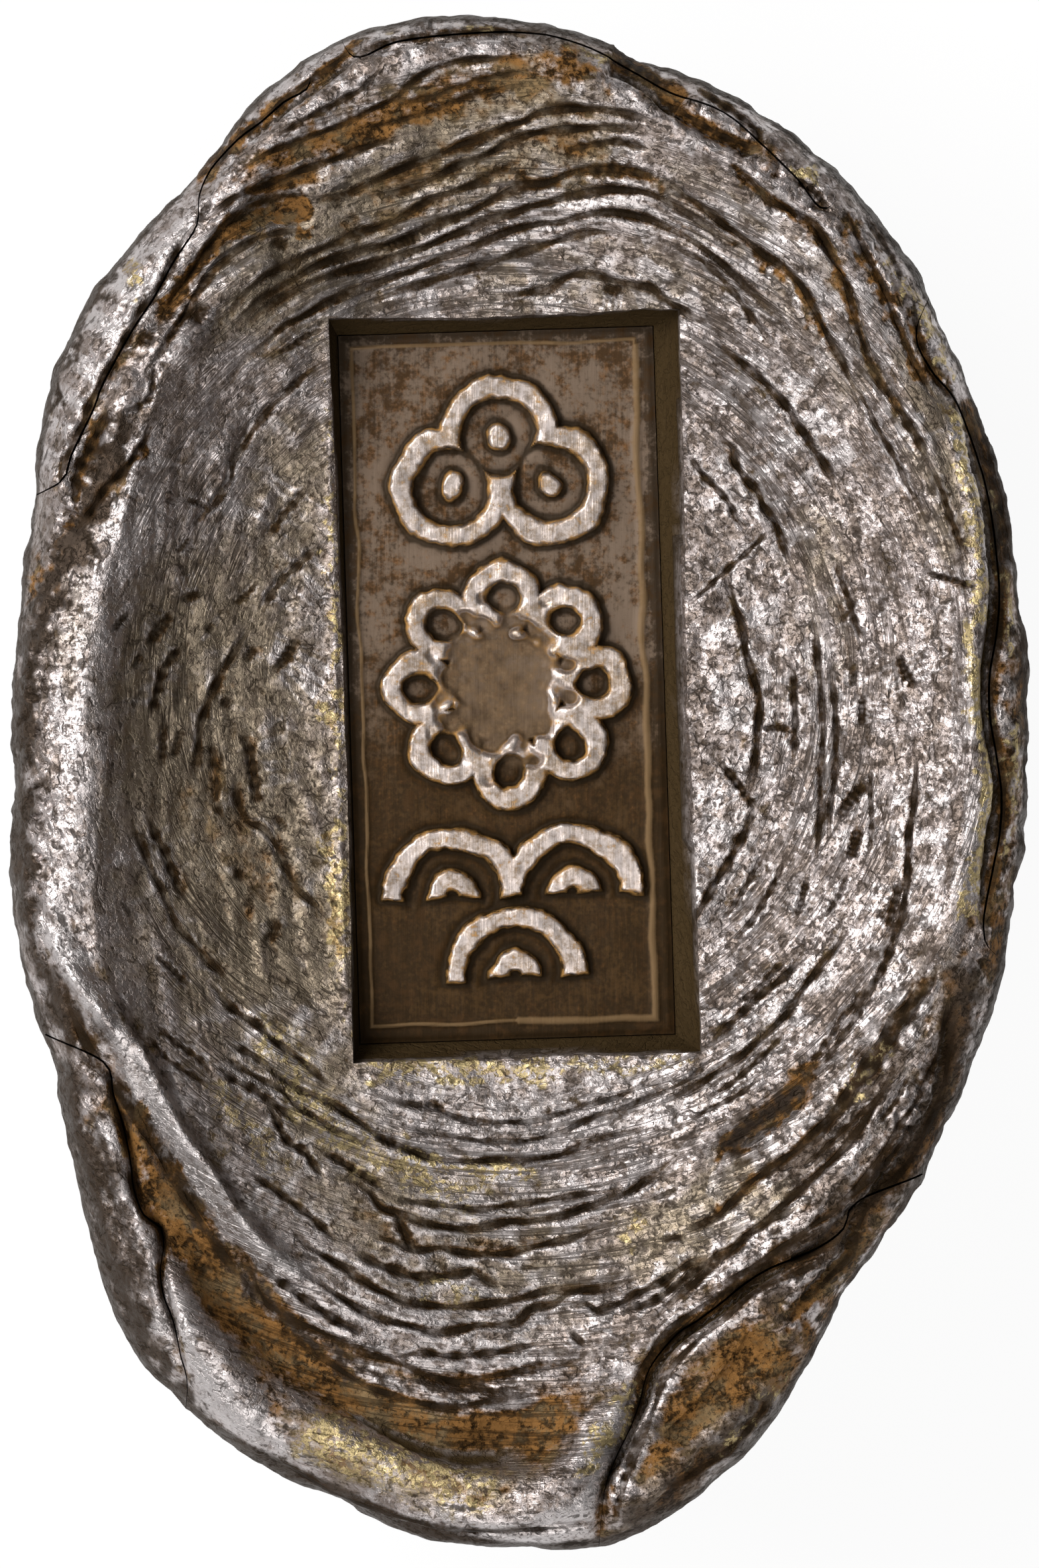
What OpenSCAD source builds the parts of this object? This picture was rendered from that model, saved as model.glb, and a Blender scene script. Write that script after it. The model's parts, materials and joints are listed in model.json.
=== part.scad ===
// Oval silver ingot of the sycee kind: a poured casting with a dished, rippled face,
// a rim lapped over itself in five tongues, and a panel struck into the face by a punch.
// Millimetres, +Z up, +Y along the ingot. The origin is the middle of the base.

/* [Ingot] */
// Length of the ingot, along Y
ingot_l = 50; // [44:0.5:58]
// Width of the ingot, along X
ingot_w = 33.2; // [29:0.2:38]
// Height of the rim's crest above the base
ingot_h = 19; // [17.5:0.5:23]
// Height of the dished face at the panel
face_h = 15.8; // [14.4:0.2:17]
// Height at which the flank is widest
edge_h = 14.6; // [12:0.2:16]
// Length of the flat base
base_l = 29; // [22:0.5:36]
// Width of the flat base
base_w = 15; // [10:0.5:22]
// Usual distance from the outer edge in to the rim's crest
rim_w = 2; // [1.2:0.1:2.6]
// Depth of the deepest hollow in the face
hollow_depth = 1.2; // [0.4:0.1:1.6]

/* [Flow ripples] */
// Number of ripples between the panel and the rim
ripple_count = 12; // [6:1:14]
// Depth of a ripple's groove below its crest
ripple_depth = 0.42; // [0.1:0.02:0.6]

/* [Struck panel] */
// Width of the punch's face
panel_w = 10.3; // [8:0.1:12]
// Length of the punch's face
panel_l = 23.1; // [18:0.1:25]
// Place of the panel's middle, along X
panel_x = -0.4; // [-1.5:0.1:1.5]
// Place of the panel's middle, along Y
panel_y = 3.2; // [1:0.1:5]
// Turn of the panel, anticlockwise from above, in degrees
panel_turn = 1.8; // [-4:0.1:4]
// Depth of the panel's floor below the dished face
strike_depth = 0.85; // [0.6:0.05:1.6]
// How far each wall of the panel leans out by the level of the face
wall_lean_w = 0.4; // [0.1:0.05:0.8]
// Thickness of the struck metal under the panel's floor
strike_t = 1.6; // [1:0.1:3]
// Gap between the struck metal and the casting round it
strike_gap = 0.03; // [0.01:0.01:0.1]
// Depth of the mark that the punch's first, turned blow left
first_blow_depth = 0.35; // [0.1:0.05:0.7]
// Turn of that first blow from the panel, in degrees
first_blow_turn = 3; // [0:0.5:5]

/* [Panel ornament] */
// Width of the raised border
border_w = 0.35; // [0.2:0.05:0.6]
// Distance from the panel's wall to the border
border_inset = 0.35; // [0.2:0.05:0.6]
// Height of the border and the ornament above the floor
relief_h = 0.45; // [0.2:0.05:0.7]
// Width of the ornament's strokes
stroke_w = 0.7; // [0.4:0.05:0.8]
// Radius of the rosette, to the outside of its petals
rosette_r = 4.05; // [3.4:0.05:4.2]
// Radius of the worn boss in the rosette
boss_r = 1.9; // [1.2:0.1:2.2]
// Radius of one lobe of the cloud above the rosette
cloud_r = 1.95; // [1.5:0.05:2.1]
// Radius of one wave below the rosette
wave_r = 2.3; // [1.8:0.05:2.4]
// Gap between the rosette and what is above and below it
ornament_gap = 0.5; // [0.2:0.1:0.8]

/* [Lapped rim] */
// Width of the open seam between a lap and the casting
seam_w = 0.12; // [0.05:0.01:0.3]
// Height of the seat under the four narrow laps, at its lowest
lap_seat_h = 13.4; // [12:0.2:15]
// Height of the seat under the broad lap, at its lowest
broad_seat_h = 12.2; // [11:0.2:14]
// How far a seat rises to the ends of its lap
seat_rise_h = 2; // [0.5:0.1:3]

/* [Hidden] */

silver = "#a9a29a";
tarnish = "#6b5640";
lap_silver = "#958a7e";

// Bearings are degrees anticlockwise from +X, seen from above.
bearings = 96;
bearing_step = 360 / bearings;
panel_at = [panel_x, panel_y];

// How the outline departs from a plain oval: bearing, share of the radius, spread in degrees
outline_lobes = [
    [40, 0.026, 24], [80, -0.03, 10], [106, 0.03, 9], [136, 0.055, 13], [182, -0.014, 7], [195, 0.01, 7],
    [210, -0.022, 6], [237, 0.056, 12], [257, -0.014, 8], [278, 0.012, 6], [302, -0.066, 11],
    [320, -0.045, 13], [342, -0.016, 12]
];

// How the crest departs from its usual distance: bearing, share of that distance, spread in degrees
crest_lobes = [[92, -0.5, 18], [140, 0.75, 16], [184, 0.55, 22], [234, 0.5, 16], [270, -0.3, 15]];

// Hollows in the face, and folds that stand up where the depth is below zero: bearing,
// share of the way to the edge, share of the deepest, spread in degrees, spread of the way,
// and how much further out the fold runs with each degree
hollows = [
    [248, 0.85, 1.15, 22, 0.055, 0], [292, 0.93, 0.75, 10, 0.05, 0], [120, 0.87, 0.75, 11, 0.045, 0],
    [78, 0.96, 0.75, 7, 0.035, 0.003], [13, 0.945, 0.4, 24, 0.025, 0], [175, 0.7, 0.25, 28, 0.15, 0],
    [178, 0.47, 0.35, 42, 0.17, 0], [91, 0.6, 0.25, 18, 0.07, 0],
    [222, 0.8, -0.3, 20, 0.03, -0.0025], [256, 0.965, -0.4, 14, 0.04, 0],
    [172, 0.9, -0.2, 24, 0.05, 0.002], [14, 0.905, -0.15, 26, 0.025, 0]
];

// Seams of the laps: bearings, and the share of the way to the edge at which the seam runs
top_lap_seam = [
    [60, 1], [62, 0.945], [68, 0.95], [73, 0.962], [78, 0.957], [83, 0.965], [89, 0.965], [95, 0.962],
    [100, 0.962], [103, 1]
];
upper_left_lap_seam = [
    [106, 1], [108, 0.957], [112, 0.965], [116, 0.965], [119, 0.945], [122, 0.925], [127, 0.905],
    [132, 0.898], [137, 0.9], [142, 0.915], [146, 0.938], [150, 1]
];
right_lap_seam = [
    [-22, 1], [-18, 0.947], [-12, 0.947], [-6, 0.951], [-1, 0.942], [3, 0.93], [8, 0.922], [13, 0.93],
    [17, 0.948], [22, 0.96], [28, 0.965], [34, 0.965], [40, 0.958], [44, 0.94], [47, 0.95], [50, 1]
];
lower_left_lap_seam = [
    [211, 1], [214, 0.9], [219, 0.887], [224, 0.886], [228, 0.895], [232, 0.875], [234, 0.895],
    [237, 0.918], [240, 0.955], [243, 1]
];
lower_right_lap_seam = [
    [275, 1], [277, 0.92], [279, 0.875], [281, 0.848], [283, 0.82], [286, 0.81], [289, 0.818],
    [293, 0.837], [297, 0.868], [301, 0.91], [304, 0.932], [308, 0.928], [312, 0.955], [315, 1]
];

// Each lap: its seam and the height of its seat
top_lap = [top_lap_seam, lap_seat_h];
upper_left_lap = [upper_left_lap_seam, lap_seat_h];
right_lap = [right_lap_seam, lap_seat_h];
lower_left_lap = [lower_left_lap_seam, lap_seat_h];
lower_right_lap = [lower_right_lap_seam, broad_seat_h];
laps = [top_lap, upper_left_lap, right_lap, lower_left_lap, lower_right_lap];

function total(list, i = 0) = i < len(list) ? list[i] + total(list, i + 1) : 0;
function bell(x, spread) = exp(-pow(x / spread, 2));
function turn_between(a, b) = (a - b + 900) % 360 - 180;

// Outline: an oval with lobes, fitted to the ingot's length and width
function oval(b) = 1 / norm([2 * cos(b) / ingot_w, 2 * sin(b) / ingot_l]);
function lobes_at(lobes, b) = total([for (l = lobes) l[1] * bell(turn_between(b, l[0]), l[2])]);
function lobed(b) = oval(b) * (1 + lobes_at(outline_lobes, b));
function heading(b) = [cos(b), sin(b)];
raw_outline = [for (i = [0:bearings - 1]) lobed(i * bearing_step) * heading(i * bearing_step)];
raw_x = [for (p = raw_outline) p.x];
raw_y = [for (p = raw_outline) p.y];
raw_mid = [max(raw_x) + min(raw_x), max(raw_y) + min(raw_y)] / 2;
fit_x = ingot_w / (max(raw_x) - min(raw_x));
fit_y = ingot_l / (max(raw_y) - min(raw_y));
function edge(b) =
    let (p = lobed(b) * heading(b) - raw_mid)
    [p.x * fit_x, p.y * fit_y];

// A point of the face, a share of the way from the panel's middle to the edge
function toward_edge(b, share) = panel_at + share * (edge(b) - panel_at);

// Shares of the way to the edge at which the rings of the face lie
function crest_share(b) = 1 - rim_w * (1 + lobes_at(crest_lobes, b)) / (ingot_w / 2);
first_ripple = 0.36;
groove_lag = 0.62;
middle_rings = [0.1, 0.26];

// A ripple wanders as it goes round, most half way out, and fades towards the panel
wander_most = 0.09;
function wander(b, way) = way * (1 - way) * wander_most * (sin(2 * b + 60) + 0.5 * sin(3 * b + 150 * way));
function ripple_strength(b, way) = (0.75 - 0.25 * cos(2 * b)) * min(1, 0.2 + 2 * way);
function hollow(b, share) =
    hollow_depth * total([for (h = hollows)
        let (off = turn_between(b, h[0]))
        h[2] * bell(off, h[3]) * bell(share - h[1] - h[5] * off, h[4])]);
function dished(b, share) = face_h + (ingot_h - face_h) * pow(min(share / crest_share(b), 1), 3);

// A point of the rippled face, some way from the first ripple (0) to the crest (1)
function ripple_point(b, way, depth) =
    let (share = first_ripple + (crest_share(b) - first_ripple) * (way + wander(b, way)))
    concat(toward_edge(b, share),
           min(dished(b, share) - depth * ripple_strength(b, way) - hollow(b, share), ingot_h));
function ripple_points(b) =
    [for (k = [0:ripple_count - 1], groove = [0, 1])
        ripple_point(b, (k + groove * groove_lag) / ripple_count, groove * ripple_depth)];

// The rim rolls over from its crest to the widest part of the flank
roll_angles = [0, 25, 50, 70, 90];
function roll_point(b, a) =
    let (crest = crest_share(b), share = crest + (1 - crest) * sin(a))
    concat(toward_edge(b, share), min(edge_h + (ingot_h - edge_h - hollow(b, share)) * cos(a), ingot_h));

// The flank draws in to the flat base in a superellipse
flank_power = 2.3;
flank_drops = [0.22, 0.42, 0.6, 0.74, 0.85, 0.93, 0.98, 1];
function flank_point(b, drop) =
    let (e = edge(b), foot = [e.x * base_w / ingot_w, e.y * base_l / ingot_l],
         drawn_in = 1 - pow(1 - pow(drop, flank_power), 1 / flank_power))
    concat(e + drawn_in * (foot - e), edge_h * (1 - drop));

// Section of the ingot at one bearing, from the face's middle out and down to the base
function section(b) = concat(
    [for (share = middle_rings) concat(toward_edge(b, share), dished(b, share))],
    ripple_points(b),
    [for (a = roll_angles) roll_point(b, a)],
    [for (drop = flank_drops) flank_point(b, drop)]
);
section_points = len(section(0));

// The whole cast form, before the laps and the panel are parted from it
module ingot_form() {
    skin = [for (i = [0:bearings - 1], p = section(i * bearing_step)) p];
    face_middle = len(skin);
    base_middle = face_middle + 1;
    points = concat(skin, [concat(panel_at, face_h)], [[0, 0, 0]]);
    function at(i, j) = (i % bearings) * section_points + j;
    faces = [for (i = [0:bearings - 1]) each concat(
        [[face_middle, at(i + 1, 0), at(i, 0)]],
        [for (j = [0:section_points - 2]) each [
            [at(i, j), at(i + 1, j), at(i + 1, j + 1)],
            [at(i, j), at(i + 1, j + 1), at(i, j + 1)]
        ]],
        [[base_middle, at(i, section_points - 1), at(i + 1, section_points - 1)]]
    )];
    polyhedron(points, faces);
}

// Plan of a lap: what lies outside its seam
function first_bearing(lap) = lap[0][0][0];
function last_bearing(lap) = lap[0][len(lap[0]) - 1][0];
lap_steps = 32;
past_edge = 1.2;
module lap_plan(lap) {
    from = first_bearing(lap);
    span = last_bearing(lap) - from;
    inner = [for (i = [0:lap_steps])
        let (b = from + span * i / lap_steps)
        toward_edge(b, lookup(b, lap[0]))];
    outer = [for (i = [lap_steps:-1:0]) toward_edge(from + span * i / lap_steps, past_edge)];
    polygon(concat(inner, outer));
}

// Elevation of a lap: everything above its seat, which rises to both ends
seat_steps = 8;
module lap_elevation(lap) {
    first = edge(first_bearing(lap));
    chord = edge(last_bearing(lap)) - first;
    half = norm(chord) / 2;
    top = 2 * ingot_h;
    seat = [for (i = [-seat_steps:seat_steps])
        let (u = past_edge * i / seat_steps)
        [u * half, lap[1] + seat_rise_h * u * u]];
    translate(concat(first + chord / 2, 0)) rotate([90, 0, atan2(chord.y, chord.x)])
        linear_extrude(2 * ingot_w, center = true)
            polygon(concat(seat, [[past_edge * half, top], [-past_edge * half, top]]));
}

// Room for a lap in the casting, wider than the lap by the seam
module lap_room(lap, grow) {
    intersection() {
        linear_extrude(2 * ingot_h) offset(delta = grow) lap_plan(lap);
        lap_elevation(lap);
    }
}
module lapped(lap) {
    color(lap_silver) intersection() {
        ingot_form();
        lap_room(lap, 0);
    }
}

// Levels and frame of the struck panel
floor_h = face_h - strike_depth;
pocket_h = floor_h - strike_t;
module on_panel(z) {
    translate([panel_x, panel_y, z]) rotate(panel_turn) children();
}
module plate(w, l, h) {
    translate([-w / 2, -l / 2, 0]) cube([w, l, h]);
}

// What the punch cleared: a straight socket for the struck metal, under walls that lean out
module punch_path() {
    rise = ingot_h - floor_h;
    lean = 2 * wall_lean_w * rise / strike_depth;
    on_panel(pocket_h) plate(panel_w, panel_l, strike_t);
    on_panel(floor_h) linear_extrude(rise, scale = [1 + lean / panel_w, 1 + lean / panel_l])
        square([panel_w, panel_l], center = true);
}
module first_blow() {
    on_panel(face_h - first_blow_depth) rotate(first_blow_turn)
        plate(panel_w + 2 * wall_lean_w, panel_l + 2 * wall_lean_w, ingot_h);
}

module cast_body() {
    color(silver) difference() {
        ingot_form();
        punch_path();
        first_blow();
        for (lap = laps) lap_room(lap, seam_w);
    }
}

// Ornament of the panel, in plan: border, cloud, rosette and waves
function border_size(inset) = [panel_w - 2 * inset, panel_l - 2 * inset];
module border_plan() {
    difference() {
        square(border_size(border_inset), center = true);
        square(border_size(border_inset + border_w), center = true);
    }
}
cloud_step = cloud_r - stroke_w / 2;
cloud_at = [[-cloud_step, 0], [cloud_step, 0], [0, cloud_step]];
cloud_dot_r = stroke_w * 0.6;
module cloud_plan() {
    difference() {
        for (p = cloud_at) translate(p) circle(cloud_r, $fn = 48);
        for (p = cloud_at) translate(p) circle(cloud_r - stroke_w, $fn = 48);
    }
    for (p = cloud_at) translate(p) circle(cloud_dot_r, $fn = 24);
}
petals = 8;
petal_r = rosette_r * 0.3;
module rosette_plan() {
    for (i = [0:petals - 1])
        rotate(i * 360 / petals) translate([rosette_r - petal_r, 0]) difference() {
            circle(petal_r, $fn = 36);
            circle(petal_r - stroke_w, $fn = 36);
        }
    circle(boss_r, $fn = 48);
}
wave_step = wave_r - stroke_w / 2;
wave_at = [[-wave_step, 0], [wave_step, 0], [0, -wave_r - stroke_w / 2]];
module wave_plan() {
    for (p = wave_at, r = [wave_r, wave_r - 2 * stroke_w])
        translate(p) intersection() {
            difference() {
                circle(r, $fn = 48);
                circle(r - stroke_w, $fn = 48);
            }
            translate([-wave_r, 0]) square([2 * wave_r, wave_r]);
        }
}
module ornament_plan() {
    border_plan();
    translate([0, rosette_r + ornament_gap + cloud_r]) cloud_plan();
    rosette_plan();
    translate([0, -rosette_r - ornament_gap - wave_r]) wave_plan();
}

module struck_panel() {
    color(tarnish) {
        on_panel(pocket_h) plate(panel_w - 2 * strike_gap, panel_l - 2 * strike_gap, strike_t);
        on_panel(floor_h) linear_extrude(relief_h) ornament_plan();
    }
}

cast_body();
struck_panel();
lapped(top_lap);
lapped(upper_left_lap);
lapped(right_lap);
lapped(lower_left_lap);
lapped(lower_right_lap);
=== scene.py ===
import json
import math

import bpy
import numpy as np
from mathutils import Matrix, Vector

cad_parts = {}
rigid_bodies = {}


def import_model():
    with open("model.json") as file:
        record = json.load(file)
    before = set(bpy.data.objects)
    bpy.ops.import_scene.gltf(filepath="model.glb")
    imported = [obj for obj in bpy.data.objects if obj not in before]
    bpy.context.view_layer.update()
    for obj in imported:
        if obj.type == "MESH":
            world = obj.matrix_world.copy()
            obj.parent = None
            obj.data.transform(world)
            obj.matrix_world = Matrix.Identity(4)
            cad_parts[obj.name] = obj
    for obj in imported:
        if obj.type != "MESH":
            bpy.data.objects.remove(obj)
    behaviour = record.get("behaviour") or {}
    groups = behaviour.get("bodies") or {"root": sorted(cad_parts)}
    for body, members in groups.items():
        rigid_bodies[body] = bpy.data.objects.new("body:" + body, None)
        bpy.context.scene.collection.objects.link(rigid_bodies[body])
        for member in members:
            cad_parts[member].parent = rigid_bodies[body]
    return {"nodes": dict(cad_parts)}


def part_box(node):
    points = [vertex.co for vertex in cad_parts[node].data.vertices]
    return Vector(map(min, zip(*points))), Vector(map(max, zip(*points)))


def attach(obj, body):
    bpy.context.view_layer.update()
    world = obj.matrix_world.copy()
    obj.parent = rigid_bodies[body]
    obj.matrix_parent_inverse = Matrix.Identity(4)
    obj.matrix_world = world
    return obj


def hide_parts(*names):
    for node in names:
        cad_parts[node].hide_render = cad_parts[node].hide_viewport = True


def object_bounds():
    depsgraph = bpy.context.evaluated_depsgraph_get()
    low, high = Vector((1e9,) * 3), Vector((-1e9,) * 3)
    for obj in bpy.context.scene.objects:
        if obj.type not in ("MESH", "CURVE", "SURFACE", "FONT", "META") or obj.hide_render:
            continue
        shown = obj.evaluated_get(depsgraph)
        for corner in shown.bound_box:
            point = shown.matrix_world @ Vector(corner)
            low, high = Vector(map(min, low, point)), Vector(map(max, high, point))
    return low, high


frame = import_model()
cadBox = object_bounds()
mm = 0.001

# where the ingot's outline lies in the photograph, in its own pixels
photo = dict(left=15, right=1551, top=24, bottom=2340, width=1568, height=2366)

laps = ["top_lap", "upper_left_lap", "right_lap", "lower_left_lap", "lower_right_lap"]
cadLow, cadHigh = np.array(cadBox[0]) / mm, np.array(cadBox[1]) / mm
pxPerMm = (photo["bottom"] - photo["top"]) / (cadHigh[1] - cadLow[1])
photoMiddle = np.array([photo["left"] + photo["right"], photo["top"] + photo["bottom"]]) / 2


def corners(node):
    low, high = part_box(node)
    return np.array(low) / mm, np.array(high) / mm


def nodePoints(node):
    mesh = frame["nodes"][node].data
    co = np.empty(len(mesh.vertices) * 3, np.float32)
    mesh.vertices.foreach_get("co", co)
    return co.reshape(-1, 3).astype(float) / mm


def onIngot(trace):
    # a trace is "x,y x,y ..." in the photograph's pixels, and comes back in mm on the ingot
    px = np.array([[float(n) for n in pair.split(",")] for pair in trace.split()])
    return np.column_stack([px[:, 0] - photoMiddle[0], photoMiddle[1] - px[:, 1]]) / pxPerMm


def bell(x, spread):
    return np.exp(-(x / spread) ** 2)


def smoothStep(x, low, high):
    t = np.clip((x - low) / (high - low), 0, 1)
    return t * t * (3 - 2 * t)


def turnBetween(a, b):
    return (a - b + 540) % 360 - 180


print("frame:", (cadHigh - cadLow).round(2), "mm,", round(pxPerMm, 2), "pixels to the mm")

# form of the casting, in mm
form = dict(
    faceHeight=15.8, crestHeight=19.0, rimWidth=2.0,
    rollPower=2.5,          # how full the rim's shoulder is
    flankPower=2.3, baseLength=29.0, baseWidth=15.0,
    bearings=1100, faceRings=230, flankRings=70, baseRings=40,
    firstShare=0.2,         # where the rings of the face start
)
crestLobes = [(92, -0.5, 18), (140, 0.75, 16), (184, 0.55, 22), (234, 0.5, 16), (270, -0.3, 15)]
hollows = [(248, 0.84, 0.5, 22, 0.06), (292, 0.93, 0.5, 10, 0.05), (118, 0.85, 0.3, 10, 0.05),
           (72, 0.95, 0.4, 7, 0.04), (13, 0.94, 0.2, 22, 0.03), (175, 0.7, 0.3, 28, 0.15)]

panelLow, panelHigh = corners("struck_panel")
ringMiddle = ((panelLow + panelHigh) / 2)[:2]

# the outline is the widest ring of the CAD solids
solidPoints = np.concatenate([nodePoints(n) for n in ["cast_body"] + laps])
edgeHeight = solidPoints[solidPoints[:, 1].argmax(), 2]
widest = solidPoints[np.abs(solidPoints[:, 2] - edgeHeight) < 0.002][:, :2]
widest = widest[np.argsort(np.arctan2(widest[:, 1], widest[:, 0]))]
bearing = np.arange(1440) / 4
edgeRadius = np.interp(np.radians(bearing), np.arctan2(widest[:, 1], widest[:, 0]),
                       np.hypot(widest[:, 0], widest[:, 1]), period=2 * np.pi)
blur = bell(np.arange(-30, 31), 8.0)
edgeRadius = np.convolve(np.pad(edgeRadius, 30, mode="wrap"), blur / blur.sum(), mode="valid")
edgePoints = edgeRadius[:, None] * np.column_stack([np.cos(np.radians(bearing)), np.sin(np.radians(bearing))])
edgeSpoke = edgePoints - ringMiddle
edgeTurn = np.degrees(np.arctan2(edgeSpoke[:, 1], edgeSpoke[:, 0]))
turnOrder = np.argsort(edgeTurn)
crestShare = 1 - form["rimWidth"] / cadHigh[0] * (
    1 + sum(h * bell(turnBetween(bearing, at), s) for at, h, s in crestLobes))


def byTurn(values, turn):
    return np.interp(turn, edgeTurn[turnOrder], values[turnOrder], period=360)


def ringPlace(x, y):
    # turn about the panel's middle, share of the way to the edge, and the reach of that way
    dx, dy = x - ringMiddle[0], y - ringMiddle[1]
    turn = np.degrees(np.arctan2(dy, dx))
    reach = byTurn(np.hypot(edgeSpoke[:, 0], edgeSpoke[:, 1]), turn)
    return turn, np.hypot(dx, dy) / reach, reach


def plainHeight(turn, share):
    # the dished face, and the rim that rolls over to the edge
    crest = byTurn(crestShare, turn)
    rise = form["crestHeight"] - form["faceHeight"]
    dish = form["faceHeight"] + rise * np.minimum(share / crest, 1) ** 3
    out = np.clip((share - crest) / (1 - crest), 0, 1)
    p = form["rollPower"]
    roll = edgeHeight + (form["crestHeight"] - edgeHeight) * (1 - out ** p) ** (1 / p)
    edgeBearing = np.degrees(np.arctan2(ringMiddle[1] + share * 20 * np.sin(np.radians(turn)),
                                        ringMiddle[0] + share * 20 * np.cos(np.radians(turn))))
    sunk = sum(d * bell(turnBetween(edgeBearing, at), s) * bell(share - on, w) for at, on, d, s, w in hollows)
    return np.where(share < crest, dish, roll) - sunk * (1 - out)


print("outline:", len(widest), "points at height", round(edgeHeight, 2))

# raster of the face, on which its relief and patina are drawn
cell = 0.04
gridX = np.arange(cadLow[0] - 0.6, cadHigh[0] + 0.6, cell)
gridY = np.arange(cadLow[1] - 0.6, cadHigh[1] + 0.6, cell)
cellX, cellY = np.meshgrid(gridX, gridY)
cellTurn, cellShare = ringPlace(cellX, cellY)[:2]
rng = np.random.default_rng(5)


def readRaster(raster, x, y):
    u = np.clip((x - gridX[0]) / cell, 0, len(gridX) - 1.001)
    v = np.clip((y - gridY[0]) / cell, 0, len(gridY) - 1.001)
    i, j = u.astype(int), v.astype(int)
    u, v = u - i, v - j
    return ((raster[j, i] * (1 - u) + raster[j, i + 1] * u) * (1 - v)
            + (raster[j + 1, i] * (1 - u) + raster[j + 1, i + 1] * u) * v)


def bandNoise(shape, waves, step, width=0.5):
    # smooth seeded noise of one wavelength (down, across), with a spread of 1
    fy = np.fft.fftfreq(shape[0], step[0])[:, None] * waves[0]
    fx = np.fft.rfftfreq(shape[1], step[1])[None] * waves[1]
    pitch = np.hypot(fx, fy)
    pitch[0, 0] = 1e-6
    spectrum = np.fft.rfft2(rng.standard_normal(shape)) * np.exp(-(np.log(pitch) / width) ** 2)
    made = np.fft.irfft2(spectrum, shape)
    return made / made.std()


def grain(wave, width=0.5):
    return bandNoise(cellX.shape, (wave, wave), (cell, cell), width)


flowRaster = dict(rows=640, columns=2880, shares=1.3)


def flowGrain(along, across, width=0.5):
    # noise drawn out along the rings: along in degrees, across in shares of the way
    rows, columns, shares = flowRaster["rows"], flowRaster["columns"], flowRaster["shares"]
    made = bandNoise((rows, columns), (across, along), (shares / rows, 360 / columns), width)
    u = (cellTurn + 180) / 360 * columns
    v = np.clip(cellShare / shares, 0, 0.998) * rows
    i, j = u.astype(int), v.astype(int)
    u, v = u - i, v - j
    i, nextI = i % columns, (i + 1) % columns
    return ((made[j, i] * (1 - u) + made[j, nextI] * u) * (1 - v)
            + (made[j + 1, i] * (1 - u) + made[j + 1, nextI] * u) * v)


def smoothPath(points, step=0.12, wobble=0.0):
    # a curve through the points, evenly stepped
    p = np.vstack([2 * points[0] - points[1], points, 2 * points[-1] - points[-2]])
    out = []
    for a, b, c, d in zip(p, p[1:], p[2:], p[3:]):
        t = np.linspace(0, 1, max(2, int(np.hypot(*(c - b)) / step)), endpoint=False)[:, None]
        out.append(0.5 * (2 * b + (c - a) * t + (2 * a - 5 * b + 4 * c - d) * t ** 2
                          + (3 * b - a - 3 * c + d) * t ** 3))
    path = np.vstack(out + [points[-1:]])
    if wobble and len(path) > 8:
        waver = np.convolve(rng.standard_normal(len(path) + 8), np.ones(9) / 9, mode="valid")
        across = np.gradient(path, axis=0)[:, ::-1] * [-1, 1]
        across /= np.hypot(across[:, 0], across[:, 1])[:, None] + 1e-9
        path = path + across * (waver * wobble)[:, None]
    return path


class Reach:
    # distance of nearby cells from a path, the way along it (0 to 1), and which side is outward
    def __init__(self, path, radius):
        low = np.maximum(((path.min(0) - radius - [gridX[0], gridY[0]]) / cell).astype(int), 0)
        high = ((path.max(0) + radius - [gridX[0], gridY[0]]) / cell).astype(int) + 2
        self.window = (slice(low[1], high[1]), slice(low[0], high[0]))
        x, y = cellX[self.window], cellY[self.window]
        self.away = np.full(x.shape, 99.0)
        self.way = np.zeros(x.shape)
        self.side = np.zeros(x.shape)
        span = int(radius / cell) + 2
        for n, (a, b) in enumerate(zip(path, path[1:])):
            i = int((a[0] - gridX[0]) / cell) - low[0]
            j = int((a[1] - gridY[0]) / cell) - low[1]
            near = (slice(max(j - span - 3, 0), max(j + span + 4, 0)),
                    slice(max(i - span - 3, 0), max(i + span + 4, 0)))
            if not x[near].size:
                continue
            d = b - a
            length = max(d @ d, 1e-9)
            t = np.clip(((x[near] - a[0]) * d[0] + (y[near] - a[1]) * d[1]) / length, 0, 1)
            offX, offY = x[near] - a[0] - t * d[0], y[near] - a[1] - t * d[1]
            away = np.hypot(offX, offY)
            closer = away < self.away[near]
            self.away[near][closer] = away[closer]
            self.way[near][closer] = ((n + t) / (len(path) - 1))[closer]
            outward = a - ringMiddle
            self.side[near][closer] = np.sign(offX * outward[0] + offY * outward[1])[closer]


relief = np.zeros(cellX.shape)      # mm added to the plain form
brown = np.zeros(cellX.shape)       # 0 to 1, thick brown patina
gold = np.zeros(cellX.shape)        # 0 to 1, gold-toned tarnish
film = np.zeros(cellX.shape)        # 0 to 1, thin grey film
soot = np.zeros(cellX.shape)        # 0 to 1, black tarnish, and painted shade
polishAndHighlight = np.zeros(cellX.shape)      # 0 to 1, rubbed bright, and painted highlight on the crests
lineNear = np.full(cellX.shape, 9.0)    # mm to the nearest flow line
lineSide = np.ones(cellX.shape)         # 1 on its outer side, -1 on its inner side
lineDark = np.zeros(cellX.shape)        # 0 to 1, how strong that line is
lineWide = np.full(cellX.shape, 0.1)    # mm, half its width


def foldAt(halfWidth, height, trace):
    # a wide ridge or valley, half width in pixels and height in mm
    reach = Reach(smoothPath(onIngot(trace), 0.3), halfWidth / pxPerMm * 2.4)
    ends = np.clip(np.minimum(reach.way, 1 - reach.way) * 7, 0, 1) ** 0.6
    relief[reach.window] += height * ends * bell(reach.away, halfWidth / pxPerMm)


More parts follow.
